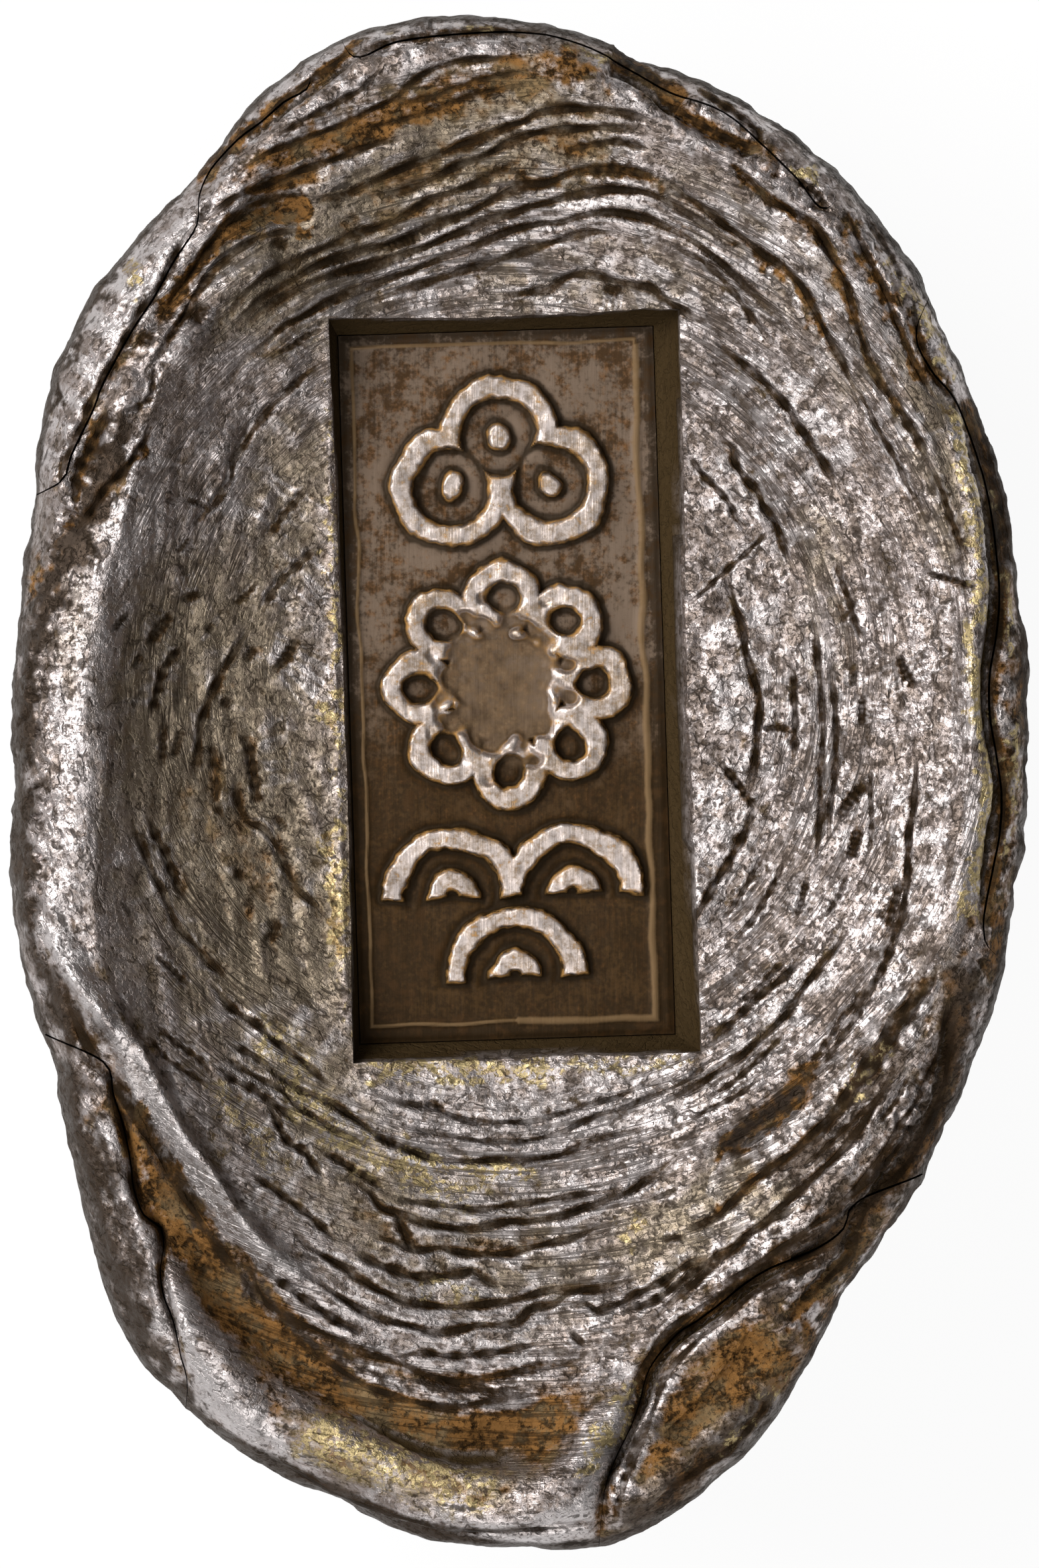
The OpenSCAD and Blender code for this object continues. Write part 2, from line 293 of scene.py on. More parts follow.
def wash(field, halfWidth, strength, trace):
    reach = Reach(smoothPath(onIngot(trace), 0.3), halfWidth / pxPerMm * 2.2)
    part = field[reach.window]
    np.maximum(part, strength * bell(reach.away, halfWidth / pxPerMm), out=part)


# flow lines: half width as a share of the traced width, then mm and shares of the depth
lineForm = dict(narrow=0.57, wobble=0.03, reach=1.0, stepFade=0.32, outerStep=0.6, innerStep=-0.45,
                brown=0.35)


def grooveAt(width, depth, dark, trace):
    # a sharp trough at the foot of a low step, whose outer side stands higher
    w = width / pxPerMm * lineForm["narrow"]
    reach = Reach(smoothPath(onIngot(trace), 0.1, wobble=lineForm["wobble"]), lineForm["reach"])
    here = reach.window
    ends = np.clip(np.minimum(reach.way, 1 - reach.way) * 6, 0, 1) ** 0.5
    uneven = 0.8 + 0.2 * np.sin(reach.way * 37 + width * 3)
    trough = np.clip(1 - reach.away / max(1.3 * w, 0.12), 0, 1)
    step = np.exp(-reach.away / lineForm["stepFade"])
    step = step * np.where(reach.side > 0, lineForm["outerStep"], lineForm["innerStep"]) * (1 - trough)
    relief[here] += depth * ends * uneven * (step - trough)
    nearer = reach.away < lineNear[here]
    lineNear[here][nearer] = reach.away[nearer]
    lineSide[here][nearer] = reach.side[nearer]
    lineDark[here][nearer] = (dark * ends * uneven)[nearer]
    swelling = w * (0.45 + 0.55 * ends) * (0.85 + 0.3 * np.sin(reach.way * 29 + width * 5))
    lineWide[here][nearer] = swelling[nearer]
    part = brown[here]
    np.maximum(part, lineForm["brown"] * dark * ends * bell(reach.away, 2 * w), out=part)


def recessAt(depth, trace):
    # a sunken patch with a crisp edge, full of brown patina
    edge = smoothPath(np.vstack([onIngot(trace), onIngot(trace)[:1]]), 0.15, wobble=0.04)
    reach = Reach(edge, 0.5)
    here = reach.window
    x, y = cellX[here], cellY[here]
    inside = np.zeros(x.shape, bool)
    for a, b in zip(edge, np.roll(edge, -1, 0)):
        crosses = (a[1] > y) != (b[1] > y)
        inside ^= crosses & (x < a[0] + (y - a[1]) * (b[0] - a[0]) / (b[1] - a[1] + 1e-12))
    away = np.where(inside, reach.away, -reach.away)
    relief[here] -= depth * smoothStep(away, -0.04, 0.3)
    part = brown[here]
    np.maximum(part, smoothStep(away, -0.06, 0.1), out=part)


# wide folds: half width in pixels, height in mm, trace
folds = [
    (10, 0.2, "112,1450 155,1517 198,1587 224,1639 268,1709 305,1757 376,1868 427,1940"),
    (42, -1.0, "200,1660 256,1805 318,1902 386,1980 463,2056 560,2114 676,2160 772,2153 850,2110"),
    (18, 0.6, "90,1400 120,1460 159,1516 207,1593 246,1660 290,1738 338,1805 405,1883 460,1930"),
    (34, 0.5, "270,1950 318,2050 386,2150 454,2215 540,2258 676,2284 760,2280 850,2230 900,2160 960,2090"),
    (9, -0.3, "160,1600 190,1700 205,1790 245,1850 245,1910 265,1990 275,2040 290,2100"),
    (22, 0.4, "265,1900 290,1980 330,2020 360,2060 400,2130"),
    (11, -0.5, "1290,1810 1230,1880 1160,1910 1090,1960 1000,2030 965,2110 930,2190 908,2270 905,2320"),
    (60, -0.55, "1170,2010 1120,2060 1060,2110 1010,2170"),
    (15, 0.3, "1140,2110 1080,2150 1040,2180 1000,2220 960,2260"),
    (26, -0.3, "470,325 400,325 350,355 310,400 280,440 265,470 230,510"),
    (20, -1.0, "920,92 960,110 1010,145 1030,165"),
    (16, -0.5, "1420,590 1460,640 1490,760 1505,900 1490,1020 1490,1080 1508,1200 1495,1310 1480,1400"),
    (18, 0.28, "1430,620 1465,780 1472,860 1465,1020 1482,1140 1485,1200 1480,1240"),
    (14, 0.3, "128,640 118,700 112,760"), (16, 0.25, "205,560 190,620 170,690"),
    (16, -0.5, "118,775 104,800"), (13, -0.5, "548,65 500,110 430,160 360,215 320,258 300,300"),
    (11, -0.4, "820,55 700,58 600,70 548,90"),
    (46, 0.3, "235,770 205,830 176,900 155,1000 135,1100 122,1200 114,1300 102,1380"),
    (9, -0.22, "1100,250 1160,310 1220,340 1255,400 1280,460 1305,540 1355,620"),
    (12, 0.2, "1030,285 1090,328 1150,372 1200,410 1250,480 1290,560"),
    (14, -0.35, "1210,1625 1150,1680 1095,1725"),
    (15, -0.4, "1440,1500 1420,1640 1380,1730 1310,1810 1280,1890 1220,1950 1190,1990"),
    (8, -0.3, "400,2180 500,2245 600,2280 700,2300 800,2300 900,2290"),
    (13, -0.32, "985,150 1030,180 1080,210 1150,235"), (12, -0.25, "490,272 430,285 370,300"),
    (18, 0.25, "260,560 300,500 350,440 420,400"), (150, -0.42, "430,560 430,900 440,1300 470,1520"),
    (60, -0.3, "500,440 760,440 1000,450"), (6, 0.1, "496,520 504,800 510,1100 520,1400 526,1570"),
    (7, 0.1, "530,1592 700,1604 1030,1612"), (22, 0.2, "640,210 540,250 450,300"),
    (14, -0.25, "350,1860 400,1930 480,2010 560,2045 650,2075 800,2070"),
]
for fold in folds:
    foldAt(*fold)
print("folds:", len(folds))

# flow lines: width in pixels, depth in mm, darkness, trace
flowLines = [
    (9, 0.13, 1, "1380,1685 1345,1735 1308,1777 1262,1815 1217,1848 1165,1885 1115,1919 1060,1950"),
    (9, 0.13, 1, "1349,1604 1320,1655 1288,1706 1248,1748 1207,1787 1160,1830 1115,1868 1070,1910"
                 " 1024,1950 985,1985"),
    (7, 0.1, 0.9, "1430,1482 1422,1535 1410,1584 1388,1638 1359,1685 1325,1738 1288,1787 1240,1830"),
    (7, 0.1, 0.9, "1308,1472 1296,1510 1288,1533 1258,1575 1227,1614"),
    (13, 0.17, 1, "100,1470 116,1530 142,1582 172,1626 200,1668 234,1722 264,1770 304,1836 346,1898"
                  " 396,1958"),
    (15, 0.18, 1, "1400,1472 1349,1533 1308,1594 1258,1675 1217,1726"),
    (9, 0.3, 1, "548,65 530,85 500,110 470,130 430,160 395,190 360,215 340,240 320,258 300,270"),
    (9, 0.25, 1, "800,55 750,55 700,58 650,62 600,70 560,82 548,90"), (6, 0.15, 0.9, "650,35 650,55"),
    (7, 0.16, 0.9, "800,95 740,98 690,102 650,115 620,135 600,155 560,175 520,195 470,215 420,235 380,255"
                   " 350,285"),
    (7, 0.14, 0.7, "800,115 740,125 690,140 650,155 600,165"),
    (6, 0.12, 0.7, "800,135 720,150 650,175 600,190 550,200"),
    (8, 0.2, 0.9, "460,300 420,303 380,318 350,340 330,360 310,390 290,420 270,440 255,470"),
    (9, 0.22, 1, "300,345 280,370 265,400 250,430 235,455 215,475 205,500 180,540 160,580 150,610"),
    (7, 0.16, 0.9, "470,352 430,355 390,365 360,385 330,410 310,440 290,470 270,500 250,520"),
    (8, 0.2, 0.9, "320,310 300,345"), (14, 0.5, 1, "925,95 960,108 1010,145"),
    (9, 0.25, 1, "985,150 1030,180 1080,210 1120,225 1150,235"),
    (8, 0.2, 1, "1050,140 1090,165 1130,195 1150,230"),
    (8, 0.2, 0.9, "1100,250 1130,280 1160,310 1190,325 1220,340 1240,370 1255,400 1270,430 1280,460"
                  " 1290,500 1305,540 1320,570 1340,600 1355,620"),
    (8, 0.2, 0.9, "1190,275 1230,300 1245,330"),
    (8, 0.2, 0.9, "1270,320 1290,360 1310,400 1330,440 1345,480 1365,530 1390,580 1410,610"),
    (7, 0.18, 0.8, "1300,330 1330,370 1350,410 1355,440"),
    (8, 0.2, 0.9, "1375,460 1380,500 1390,530 1400,560 1420,590 1440,610"),
    (8, 0.2, 1, "1010,285 1030,300 1060,320 1090,345 1120,365 1150,390 1180,410 1200,430 1215,450"
                " 1230,480 1245,510 1265,545 1280,580 1290,600"),
    (6, 0.13, 0.8, "1020,380 1060,400 1100,440 1130,480 1160,520"),
    (8, 0.25, 1, "185,540 145,605 127,650 102,705 95,740"),
    (12, 0.3, 1, "168,625 150,660 135,690 122,720 118,765"),
    (9, 0.25, 1, "232,645 222,672 195,710 165,740 140,780 122,800"),
    (6, 0.15, 0.8, "238,560 232,600 212,618 190,625"), (6, 0.3, 1, "1395,868 1420,875 1445,882 1468,890"),
    (14, 0.35, 0.9, "1440,610 1460,640 1475,700 1490,760 1500,830 1505,900 1500,960 1490,1020 1490,1080"
                    " 1500,1140 1508,1200 1505,1260 1495,1310 1480,1400"),
    (9, 0.25, 0.9, "1480,660 1500,740 1515,820 1520,880"),
    (8, 0.3, 1, "160,1600 175,1650 190,1700 200,1750 205,1790 220,1830 245,1850 250,1880 245,1910"
                " 250,1950 265,1990 275,2040"),
    (8, 0.2, 0.8, "120,1590 190,1640 230,1690 260,1740 290,1790 320,1830 350,1870"),
    (7, 0.2, 0.9, "400,2180 450,2215 500,2245 550,2265 600,2280 650,2292 700,2300 800,2300 860,2295"
                  " 900,2290"),
    (8, 0.14, 0.9, "862,2005 880,2025"),
    (11, 0.35, 1, "1290,1810 1270,1850 1230,1880 1200,1895 1160,1910 1120,1935 1090,1960 1050,1990"
                  " 1020,2010 1000,2030 980,2060 970,2090 965,2110 950,2150 930,2190 915,2230 908,2270"
                  " 905,2310"),
    (11, 0.25, 0.9, "1440,1500 1430,1560 1420,1640 1400,1690 1380,1730 1350,1770 1310,1810 1290,1850"
                    " 1280,1890 1250,1920 1220,1950 1190,1990"),
    (9, 0.2, 0.9, "1010,2240 1050,2212 1100,2180 1140,2135 1170,2090"),
    (8, 0.2, 0.9, "975,2130 955,2170 945,2210 925,2290"),
    (10, 0.16, 1, "470,312 500,304 524,298 544,288 564,280 584,272 600,264 624,254 644,248 664,240"
                  " 684,230 704,222 728,214 752,204 772,196 792,190 808,180 828,175 852,172 880,172"
                  " 904,173 928,178 952,182 975,189 990,197"),
    (10, 0.16, 1, "585,303 600,298 620,290 640,282 660,272 680,262 700,252 720,246 744,234 760,225"
                  " 780,218 800,210 824,205 848,202 880,201 904,200 932,202 962,205"),
    (9, 0.14, 0.9, "350,482 390,432 420,412 440,403 464,390 492,378 520,366 544,355 572,348 596,338"
                   " 616,326 636,314 656,304 680,296 704,287 740,272 765,258 785,248"),
    (14, 0.22, 1, "868,265 900,261 928,262 956,266 984,270"), (16, 0.22, 1, "586,376 610,368 634,360"),
    (10, 0.16, 1, "370,502 400,472 440,447 456,438 480,427 512,415 544,407 572,401 600,391 624,382"
                  " 648,374 672,363 696,354 716,346 736,337 760,330 780,324 800,316 824,310 848,303"
                  " 872,298 900,294 928,291 960,294 988,302 1010,312 1040,330 1070,352 1100,375"),
    (8, 0.13, 0.9, "560,458 600,444 624,436 648,428 672,421 696,412 720,405 752,394 780,386 800,380"
                   " 820,373 848,365 872,358 900,354 935,356"),
    (9, 0.14, 0.9, "740,452 784,446 808,442 828,438 852,424 872,418 900,420 920,426 940,430 960,434"
                   " 980,437 996,450 1012,462 1032,474 1048,484 1075,491"),
    (9, 0.17, 1, "908,437 924,440 942,441"),
    (8, 0.13, 0.9, "850,232 880,228 900,225 928,222 952,226 976,234"),
    (9, 0.17, 1, "1080,520 1110,545 1130,560 1140,570 1158,587 1176,605 1190,624 1199,642 1213,660"
                 " 1226,683 1240,701 1250,719 1258,742"),
    (8, 0.16, 1, "1085,664 1104,678 1108,701 1126,728 1144,746 1149,765 1163,783 1172,801 1181,828"
                 " 1190,851"),
    (6, 0.13, 0.9, "1040,690 1060,720 1085,745 1100,762 1110,785 1125,800"),
    (5, 0.12, 0.9, "1040,912 1070,885 1100,858 1130,830 1160,803"),
    (9, 0.17, 1, "1093,870 1099,887 1108,915 1120,951 1124,983 1133,1010 1140,1037 1145,1065 1142,1105"
                 " 1138,1146 1131,1187 1126,1204"),
    (9, 0.17, 1, "1085,1151 1100,1168 1118,1190 1140,1220"),
    (10, 0.18, 1, "1140,1216 1126,1246 1108,1283 1095,1305 1076,1337 1054,1374 1036,1395"),
    (7, 0.14, 0.9, "1188,1004 1196,1020 1197,1060 1197,1105 1195,1150"),
    (7, 0.14, 0.9, "1150,1101 1170,1098 1190,1100"),
    (7, 0.14, 0.9, "1222,930 1229,955 1231,992 1235,1028 1238,1060 1240,1096 1238,1142 1236,1187"
                   " 1235,1233 1231,1278 1225,1310"),
    (7, 0.14, 0.9, "1252,1010 1254,1042 1257,1070 1259,1105 1258,1146 1256,1187 1251,1219 1249,1265"),
    (6, 0.13, 0.9, "1262,850 1268,880 1278,905 1290,945 1300,965"),
    (8, 0.16, 1, "1287,1012 1285,1024 1284,1037"), (8, 0.16, 1, "1299,1050 1298,1072 1298,1096"),
    (14, 0.22, 1, "1302,1184 1285,1200 1270,1222 1264,1232"),
    (13, 0.22, 1, "1292,1248 1288,1270 1280,1296"), (9, 0.17, 1, "1352,990 1358,1008 1376,1040"),
    (5, 0.12, 0.9, "1312,1160 1310,1196 1312,1242 1308,1287"),
    (8, 0.16, 1, "1378,1150 1376,1205 1368,1251 1365,1296 1363,1333 1357,1378 1348,1420"),
    (8, 0.16, 1, "1355,1330 1345,1362 1336,1405"), (7, 0.14, 0.9, "1215,1330 1208,1360 1200,1385"),
    (6, 0.13, 0.9, "1180,1300 1165,1335 1150,1362 1130,1392 1108,1418"),
    (6, 0.13, 0.9, "1150,1290 1130,1325 1108,1362 1090,1385"),
    (5, 0.12, 0.9, "1275,1320 1262,1352 1245,1380"),
    (5, 0.12, 0.9, "1285,590 1301,610 1312,632 1326,660 1340,683 1354,710 1363,733 1376,755 1385,775"),
    (9, 0.17, 1, "1310,560 1317,574 1335,596 1354,624 1367,646 1381,669 1392,692"),
    (6, 0.13, 0.9, "1404,715 1417,751 1426,778 1440,815 1449,840"),
    (6, 0.13, 0.9, "340,1590 370,1612 400,1628 425,1642 450,1666 477,1682 504,1703 527,1713 550,1724"
                   " 570,1733"),
    (8, 0.16, 1, "400,1605 423,1620 450,1638 477,1650 508,1667 530,1682 546,1692 565,1707 585,1718"
                 " 600,1726 630,1738 650,1745 700,1750 746,1750 785,1749 827,1744 850,1738 873,1728"
                 " 900,1717 927,1711 950,1706 985,1696"),
    (12, 0.2, 1, "568,1710 585,1719 602,1727"),
    (7, 0.14, 0.9, "560,1645 600,1660 646,1668 669,1675 685,1682 704,1688 731,1691 765,1691 800,1690"
                   " 835,1682 862,1674 885,1667 912,1659 935,1652 960,1640 990,1625"),
    (11, 0.19, 1, "642,1666 656,1669 670,1674"),
    (6, 0.13, 0.9, "600,1690 650,1707 692,1714 719,1720 746,1720 788,1720 800,1718 823,1713 850,1705"
                   " 877,1692 900,1682 927,1674 950,1666 977,1655 1000,1645 1040,1625 1075,1600"),
    (9, 0.17, 1, "490,1738 508,1745 527,1757 546,1768 565,1780 580,1787"),
    (8, 0.16, 1, "405,1665 415,1680 427,1703 437,1720 450,1728 463,1736 471,1749 483,1765 492,1772"),
    (9, 0.17, 1, "502,1772 535,1778 550,1790 562,1799 569,1811 581,1822 600,1826 619,1832 638,1842"
                 " 654,1845 692,1851 711,1853 746,1845 769,1841 800,1840 827,1836 854,1830 881,1820"
                 " 900,1814 923,1805 950,1795 975,1778 1000,1760 1035,1732"),
    (12, 0.2, 1, "604,1828 608,1850 618,1868 626,1884"),
    (7, 0.14, 0.9, "605,1803 620,1808 645,1812 692,1818 715,1822 738,1820 769,1815 800,1811 827,1808"
                   " 854,1803 881,1799 908,1796 935,1792"),
    (8, 0.16, 1, "562,1861 581,1867 600,1870 619,1880 645,1882 665,1879 685,1884 712,1888 746,1888"
                 " 769,1887 788,1882 815,1876 842,1870 862,1865 885,1857 905,1848"),
    (10, 0.18, 1, "538,1886 554,1893 573,1903 592,1911 615,1918 638,1922 669,1922 695,1919 715,1914"
                  " 728,1922 740,1931 758,1935"),
    (7, 0.14, 0.9, "380,1765 400,1780 419,1793 438,1807 458,1822 477,1836 492,1851 510,1866"),
    (9, 0.17, 1, "445,1850 465,1874 485,1886 504,1897 523,1907 535,1918 550,1928 565,1938 585,1947"
                 " 604,1955 623,1961 650,1965 677,1968 700,1967 727,1965 754,1961 777,1957 800,1951"
                 " 827,1944 854,1939 880,1935"),
    (9, 0.17, 1, "455,1905 469,1918 488,1932 508,1947 527,1959 546,1972 565,1980 585,1986 608,1992"
                 " 631,1997 650,2003 669,2005 696,2001 719,1995 746,1995 769,1993 785,1988 796,1974"
                 " 812,1968 835,1964 850,1953 869,1944 900,1941 930,1935 965,1922"),
    (10, 0.18, 1, "398,1900 415,1922 438,1938 455,1950 469,1960 488,1972 512,1988 531,1997 552,2008"),
    (9, 0.17, 1, "350,1860 370,1890 400,1955 430,1978 450,1990 477,1999 500,2011 523,2022 550,2036"
                 " 573,2043 600,2050 623,2059 646,2070 669,2076 700,2080 727,2075 765,2068 800,2061"
                 " 840,2052 880,2045"),
    (8, 0.16, 1, "430,2000 450,2018 477,2038 500,2051 523,2067 550,2084 573,2093 600,2101 631,2111"
                 " 669,2117 700,2115 731,2109 765,2103 800,2099 830,2098"),
    (8, 0.16, 1, "600,2043 640,2036 669,2040 700,2040 740,2036 780,2030 815,2022"),
    (6, 0.13, 0.9, "670,2088 700,2092 750,2092 790,2088"),
    (9, 0.17, 1, "860,1966 885,1964 900,1973 915,1968 938,1961 958,1949 981,1938 1005,1925 1035,1905"
                 " 1065,1890"),
    (9, 0.17, 1, "1215,1440 1202,1450 1188,1466 1172,1480 1156,1490 1144,1500 1128,1516 1110,1534"
                 " 1095,1548 1075,1565"),
    (8, 0.16, 1, "1275,1400 1265,1420 1248,1442 1232,1460 1220,1476 1208,1492 1196,1512 1184,1528"
                 " 1168,1544 1152,1560 1136,1574 1116,1592 1100,1604 1080,1616 1052,1636 1020,1652"
                 " 985,1668"),
    (7, 0.14, 0.9, "1184,1450 1165,1465 1148,1485 1130,1500 1112,1515"),
    (6, 0.13, 0.9, "1300,1490 1290,1510 1280,1522 1264,1537 1254,1556 1242,1572 1232,1588 1218,1597"),
    (8, 0.16, 1, "1355,1380 1346,1410 1336,1440 1324,1468 1312,1486 1306,1510"),
    (12, 0.2, 1, "1410,1455 1404,1466 1396,1484 1380,1504 1366,1528 1352,1544 1340,1564 1326,1588"
                 " 1312,1612 1296,1628 1280,1642"),
    (10, 0.18, 1, "1290,1640 1276,1660 1256,1673 1244,1686 1228,1704 1212,1720 1196,1734 1176,1748"
                  " 1160,1760 1140,1774 1124,1786 1108,1804 1096,1816 1086,1828 1060,1842 1030,1856"),
    (7, 0.14, 0.9, "1200,1816 1180,1828 1160,1837 1140,1849 1120,1864 1104,1876 1088,1885 1070,1896"
                   " 1050,1904"),
    (9, 0.17, 1, "1076,1899 1056,1908 1040,1918 1024,1931 1010,1941 995,1952 970,1963 940,1972"),
    (6, 0.13, 0.9, "1180,1560 1160,1582 1140,1600 1115,1622 1090,1640 1065,1655"),
    (5, 0.12, 0.9, "1150,1620 1125,1640 1100,1655 1070,1672 1040,1685"),
    (5, 0.12, 0.9, "1330,1640 1300,1672 1270,1700 1240,1730 1210,1752"),
    (5, 0.12, 0.9, "1365,1620 1345,1660 1320,1690"), (5, 0.12, 0.9, "1240,1760 1210,1785 1180,1800"),
    (6, 0.13, 0.9, "1020,1790 1000,1800 985,1806"), (6, 0.13, 0.9, "1000,1868 1020,1862 1030,1866"),
    (7, 0.11, 0.9, "576,114 562,129 548,143 524,158 504,168 484,178 460,190 440,203 416,214"),
    (9, 0.13, 1, "610,214 576,222 550,230 524,240 500,248 476,258 452,266 432,274 412,282 392,290 372,298"
                 " 356,306 340,318 324,330 306,344"),
    (10, 0.14, 1, "348,506 364,490 380,474 400,454 420,442 436,430 452,422 472,410 500,397 524,390"
                  " 550,382 590,372 640,353 664,342 700,328 744,306 768,294 792,284 816,283 836,277"
                  " 852,270 872,264 900,260 928,262 956,266 985,269"),
    (9, 0.13, 1, "346,588 360,562 376,542 392,530 408,518 420,506 432,494 452,485 468,476 484,466 500,457"
                 " 536,441 568,431 592,421 616,414 640,405 664,394 688,386 712,378 736,366 760,356"
                 " 780,349 800,345 824,341 848,340 872,331 900,326 932,326 960,332 984,340 1008,350"
                 " 1028,359 1052,375 1076,394 1096,411 1125,438 1150,462 1180,492 1200,522"),
    (6, 0.1, 0.9, "488,500 464,510 452,519 436,530 420,536"),
    (7, 0.11, 0.9, "484,550 460,570 444,586 428,602 412,614 398,632 384,652 372,672 360,686 352,702"
                   " 351,725 338,745 325,765 308,782 298,798"),
    (10, 0.14, 1, "356,388 340,402 324,418 310,436 300,452 292,476 276,492 260,514 250,532 236,548"),
    (16, 0.2, 1, "312,462 304,482 296,494"), (16, 0.2, 1, "212,512 224,516 238,520"),
    (13, 0.17, 1, "410,378 425,372 438,376"), (6, 0.1, 0.9, "253,756 262,760 271,764"),
    (6, 0.1, 0.9, "285,757 300,760 314,768"), (5, 0.08, 0.9, "290,812 280,826 270,836"),
    (7, 0.11, 0.9, "462,735 449,755 437,769 420,793 405,812"),
    (7, 0.11, 0.9, "480,824 462,843 446,858 430,872 416,889 404,908 397,925"),
    (5, 0.08, 0.9, "391,878 376,895 354,912"), (11, 0.15, 1, "264,926 252,944 238,960 226,974"),
    (7, 0.11, 0.9, "217,986 210,998 204,1010"), (6, 0.1, 0.9, "200,925 185,942 174,957"),
    (9, 0.13, 1, "276,908 290,902 306,898"), (11, 0.15, 1, "314,947 319,950 324,954"),
    (9, 0.13, 1, "284,970 266,989 253,1006 245,1027 239,1052 233,1080"),
    (8, 0.12, 1, "380,948 366,968 353,989 341,1010 330,1031 320,1052 312,1072 305,1098 302,1130 298,1168"
                 " 306,1184"),
    (10, 0.14, 1, "448,965 437,988 425,1003 412,1014"), (8, 0.12, 1, "386,975 378,990 372,1000"),
    (11, 0.15, 1, "348,1052 343,1060 338,1068"), (6, 0.1, 0.9, "252,1090 249,1125 249,1158"),
    (7, 0.11, 0.9, "278,1100 270,1128 266,1145"),
    (7, 0.11, 0.9, "322,1110 326,1150 329,1187 328,1209 334,1226 347,1242"),
    (10, 0.14, 1, "368,1104 380,1130 384,1165 388,1190 390,1215"),
    (7, 0.11, 0.9, "364,1163 359,1191 363,1217 376,1239 398,1249 411,1265 424,1287 433,1309 444,1335"
                   " 463,1353 481,1370 500,1390"),
    (6, 0.1, 0.9, "416,1230 424,1240 433,1254"), (11, 0.15, 1, "366,1310 363,1318 360,1326"),
    (12, 0.16, 1, "412,1384 417,1402 404,1420"),
    (7, 0.11, 0.9, "203,1236 211,1261 224,1291 237,1322 246,1336 256,1362 272,1396 294,1422 316,1448"
                   " 333,1465 350,1483 364,1497"),
    (8, 0.12, 1, "229,1232 240,1264 254,1286 263,1313 272,1335 283,1358"),
    (8, 0.12, 1, "318,1478 346,1513 368,1531 390,1544 407,1561 424,1574 442,1588 463,1604 481,1621"
                 " 500,1636"),
    (7, 0.11, 0.9, "346,1572 368,1582 385,1590 400,1602 416,1617 433,1630 459,1647 485,1655"),
    (5, 0.08, 0.9, "230,1560 250,1590 276,1609 300,1624 318,1640"),
    (6, 0.1, 0.9, "240,1546 268,1570 285,1583 307,1600 322,1618"),
    (8, 0.12, 1, "330,1606 345,1618 360,1630 381,1639 398,1652 416,1665 437,1680 452,1694"),
    (6, 0.1, 0.9, "240,1440 255,1453 272,1470 290,1488"),
    (8, 0.12, 1, "1240,1850 1180,1885 1120,1925 1060,1965 1010,2000 975,2045 955,2090 938,2140"),
    (7, 0.11, 0.9, "1290,1850 1230,1900 1150,1935 1090,1985 1040,2025 1000,2075 985,2120 960,2180"
                   " 940,2240 925,2300"),
]
recesses = [
    (0.22, "470,300 478,320 474,342 452,351 420,349 396,351 356,363 340,378 324,391 316,403 304,422"
           " 292,438 280,451 266,468 252,470 258,450 272,430 284,410 300,390 312,374 324,362 340,350"
           " 360,338 380,324 400,314 420,306 440,299 458,297"),
    (0.3, "1210,1628 1218,1656 1198,1684 1176,1696 1148,1714 1120,1732 1098,1739 1080,1726 1084,1714"
          " 1104,1700 1128,1684 1152,1664 1176,1648"),
]
for line in flowLines:
    grooveAt(*line)
for recess in recesses:
    recessAt(*recess)
print("flow lines:", len(flowLines))

# patina, and among the soot some painted shade: half width in pixels, strength, trace
brownWashes = [
    (46, 1.0, "180,1670 230,1750 285,1850 350,1955 440,2035 540,2095 660,2135 790,2155 850,2115"),
    (60, 0.55, "300,1960 380,2060 480,2130 600,2180 720,2200 820,2180"),
    (85, 0.85, "1180,2000 1060,2110 1010,2190"), (30, 0.6, "470,325 400,325 350,355 310,400 265,470"),
    (34, 0.95, "900,120 820,118 740,130 650,155 560,195 500,220 430,250 370,280"),
    (26, 0.6, "880,180 760,200 660,250 560,300"), (22, 0.6, "900,225 790,240 690,285 600,330 520,350"),
    (30, 0.85, "930,95 985,140 1080,205 1150,240"),
    (10, 0.7, "1100,258 1178,322 1250,388 1286,484 1352,610"),
    (13, 0.95, "1274,346 1298,400 1322,436 1342,465"), (12, 0.85, "1130,376 1178,416 1214,458 1240,510"),
    (11, 0.9, "1376,480 1382,530 1405,570 1428,592"),
    (9, 0.8, "1300,400 1336,450 1348,500 1366,540 1395,582"),
    (30, 0.95, "1470,640 1505,740 1525,860 1530,1000 1528,1200 1512,1330 1490,1440"),
    (24, 0.95, "1210,1625 1150,1680 1095,1725"),
    (40, 0.8, "1290,1830 1160,1920 1050,1990 970,2090 910,2270"),
    (14, 0.7, "1330,1580 1300,1620 1270,1670"), (26, 0.6, "350,1860 430,1960 560,2045 700,2080 820,2065"),
    (12, 0.85, "155,640 130,700 120,760"), (10, 0.8, "215,680 165,740 130,790"),
    (12, 0.9, "115,795 80,855 50,910"), (20, 0.75, "490,272 430,285 360,295"),
    (15, 0.75, "800,282 880,262 985,270"), (44, 1.0, "1440,1500 1410,1690 1345,1790 1290,1870 1230,1950"),
    (12, 0.8, "1276,1662 1212,1722 1140,1776 1096,1818"), (18, 0.6, "175,1640 205,1790 250,1900 275,2050"),
    (60, 0.45, "330,1180 350,1260 390,1330"),
    (13, 0.95, "545,75 500,112 460,146 420,178 376,204 340,238 304,270"), (24, 0.5, "440,460 400,540"),
    (30, 0.5, "560,1830 650,1870 800,1890"),
]
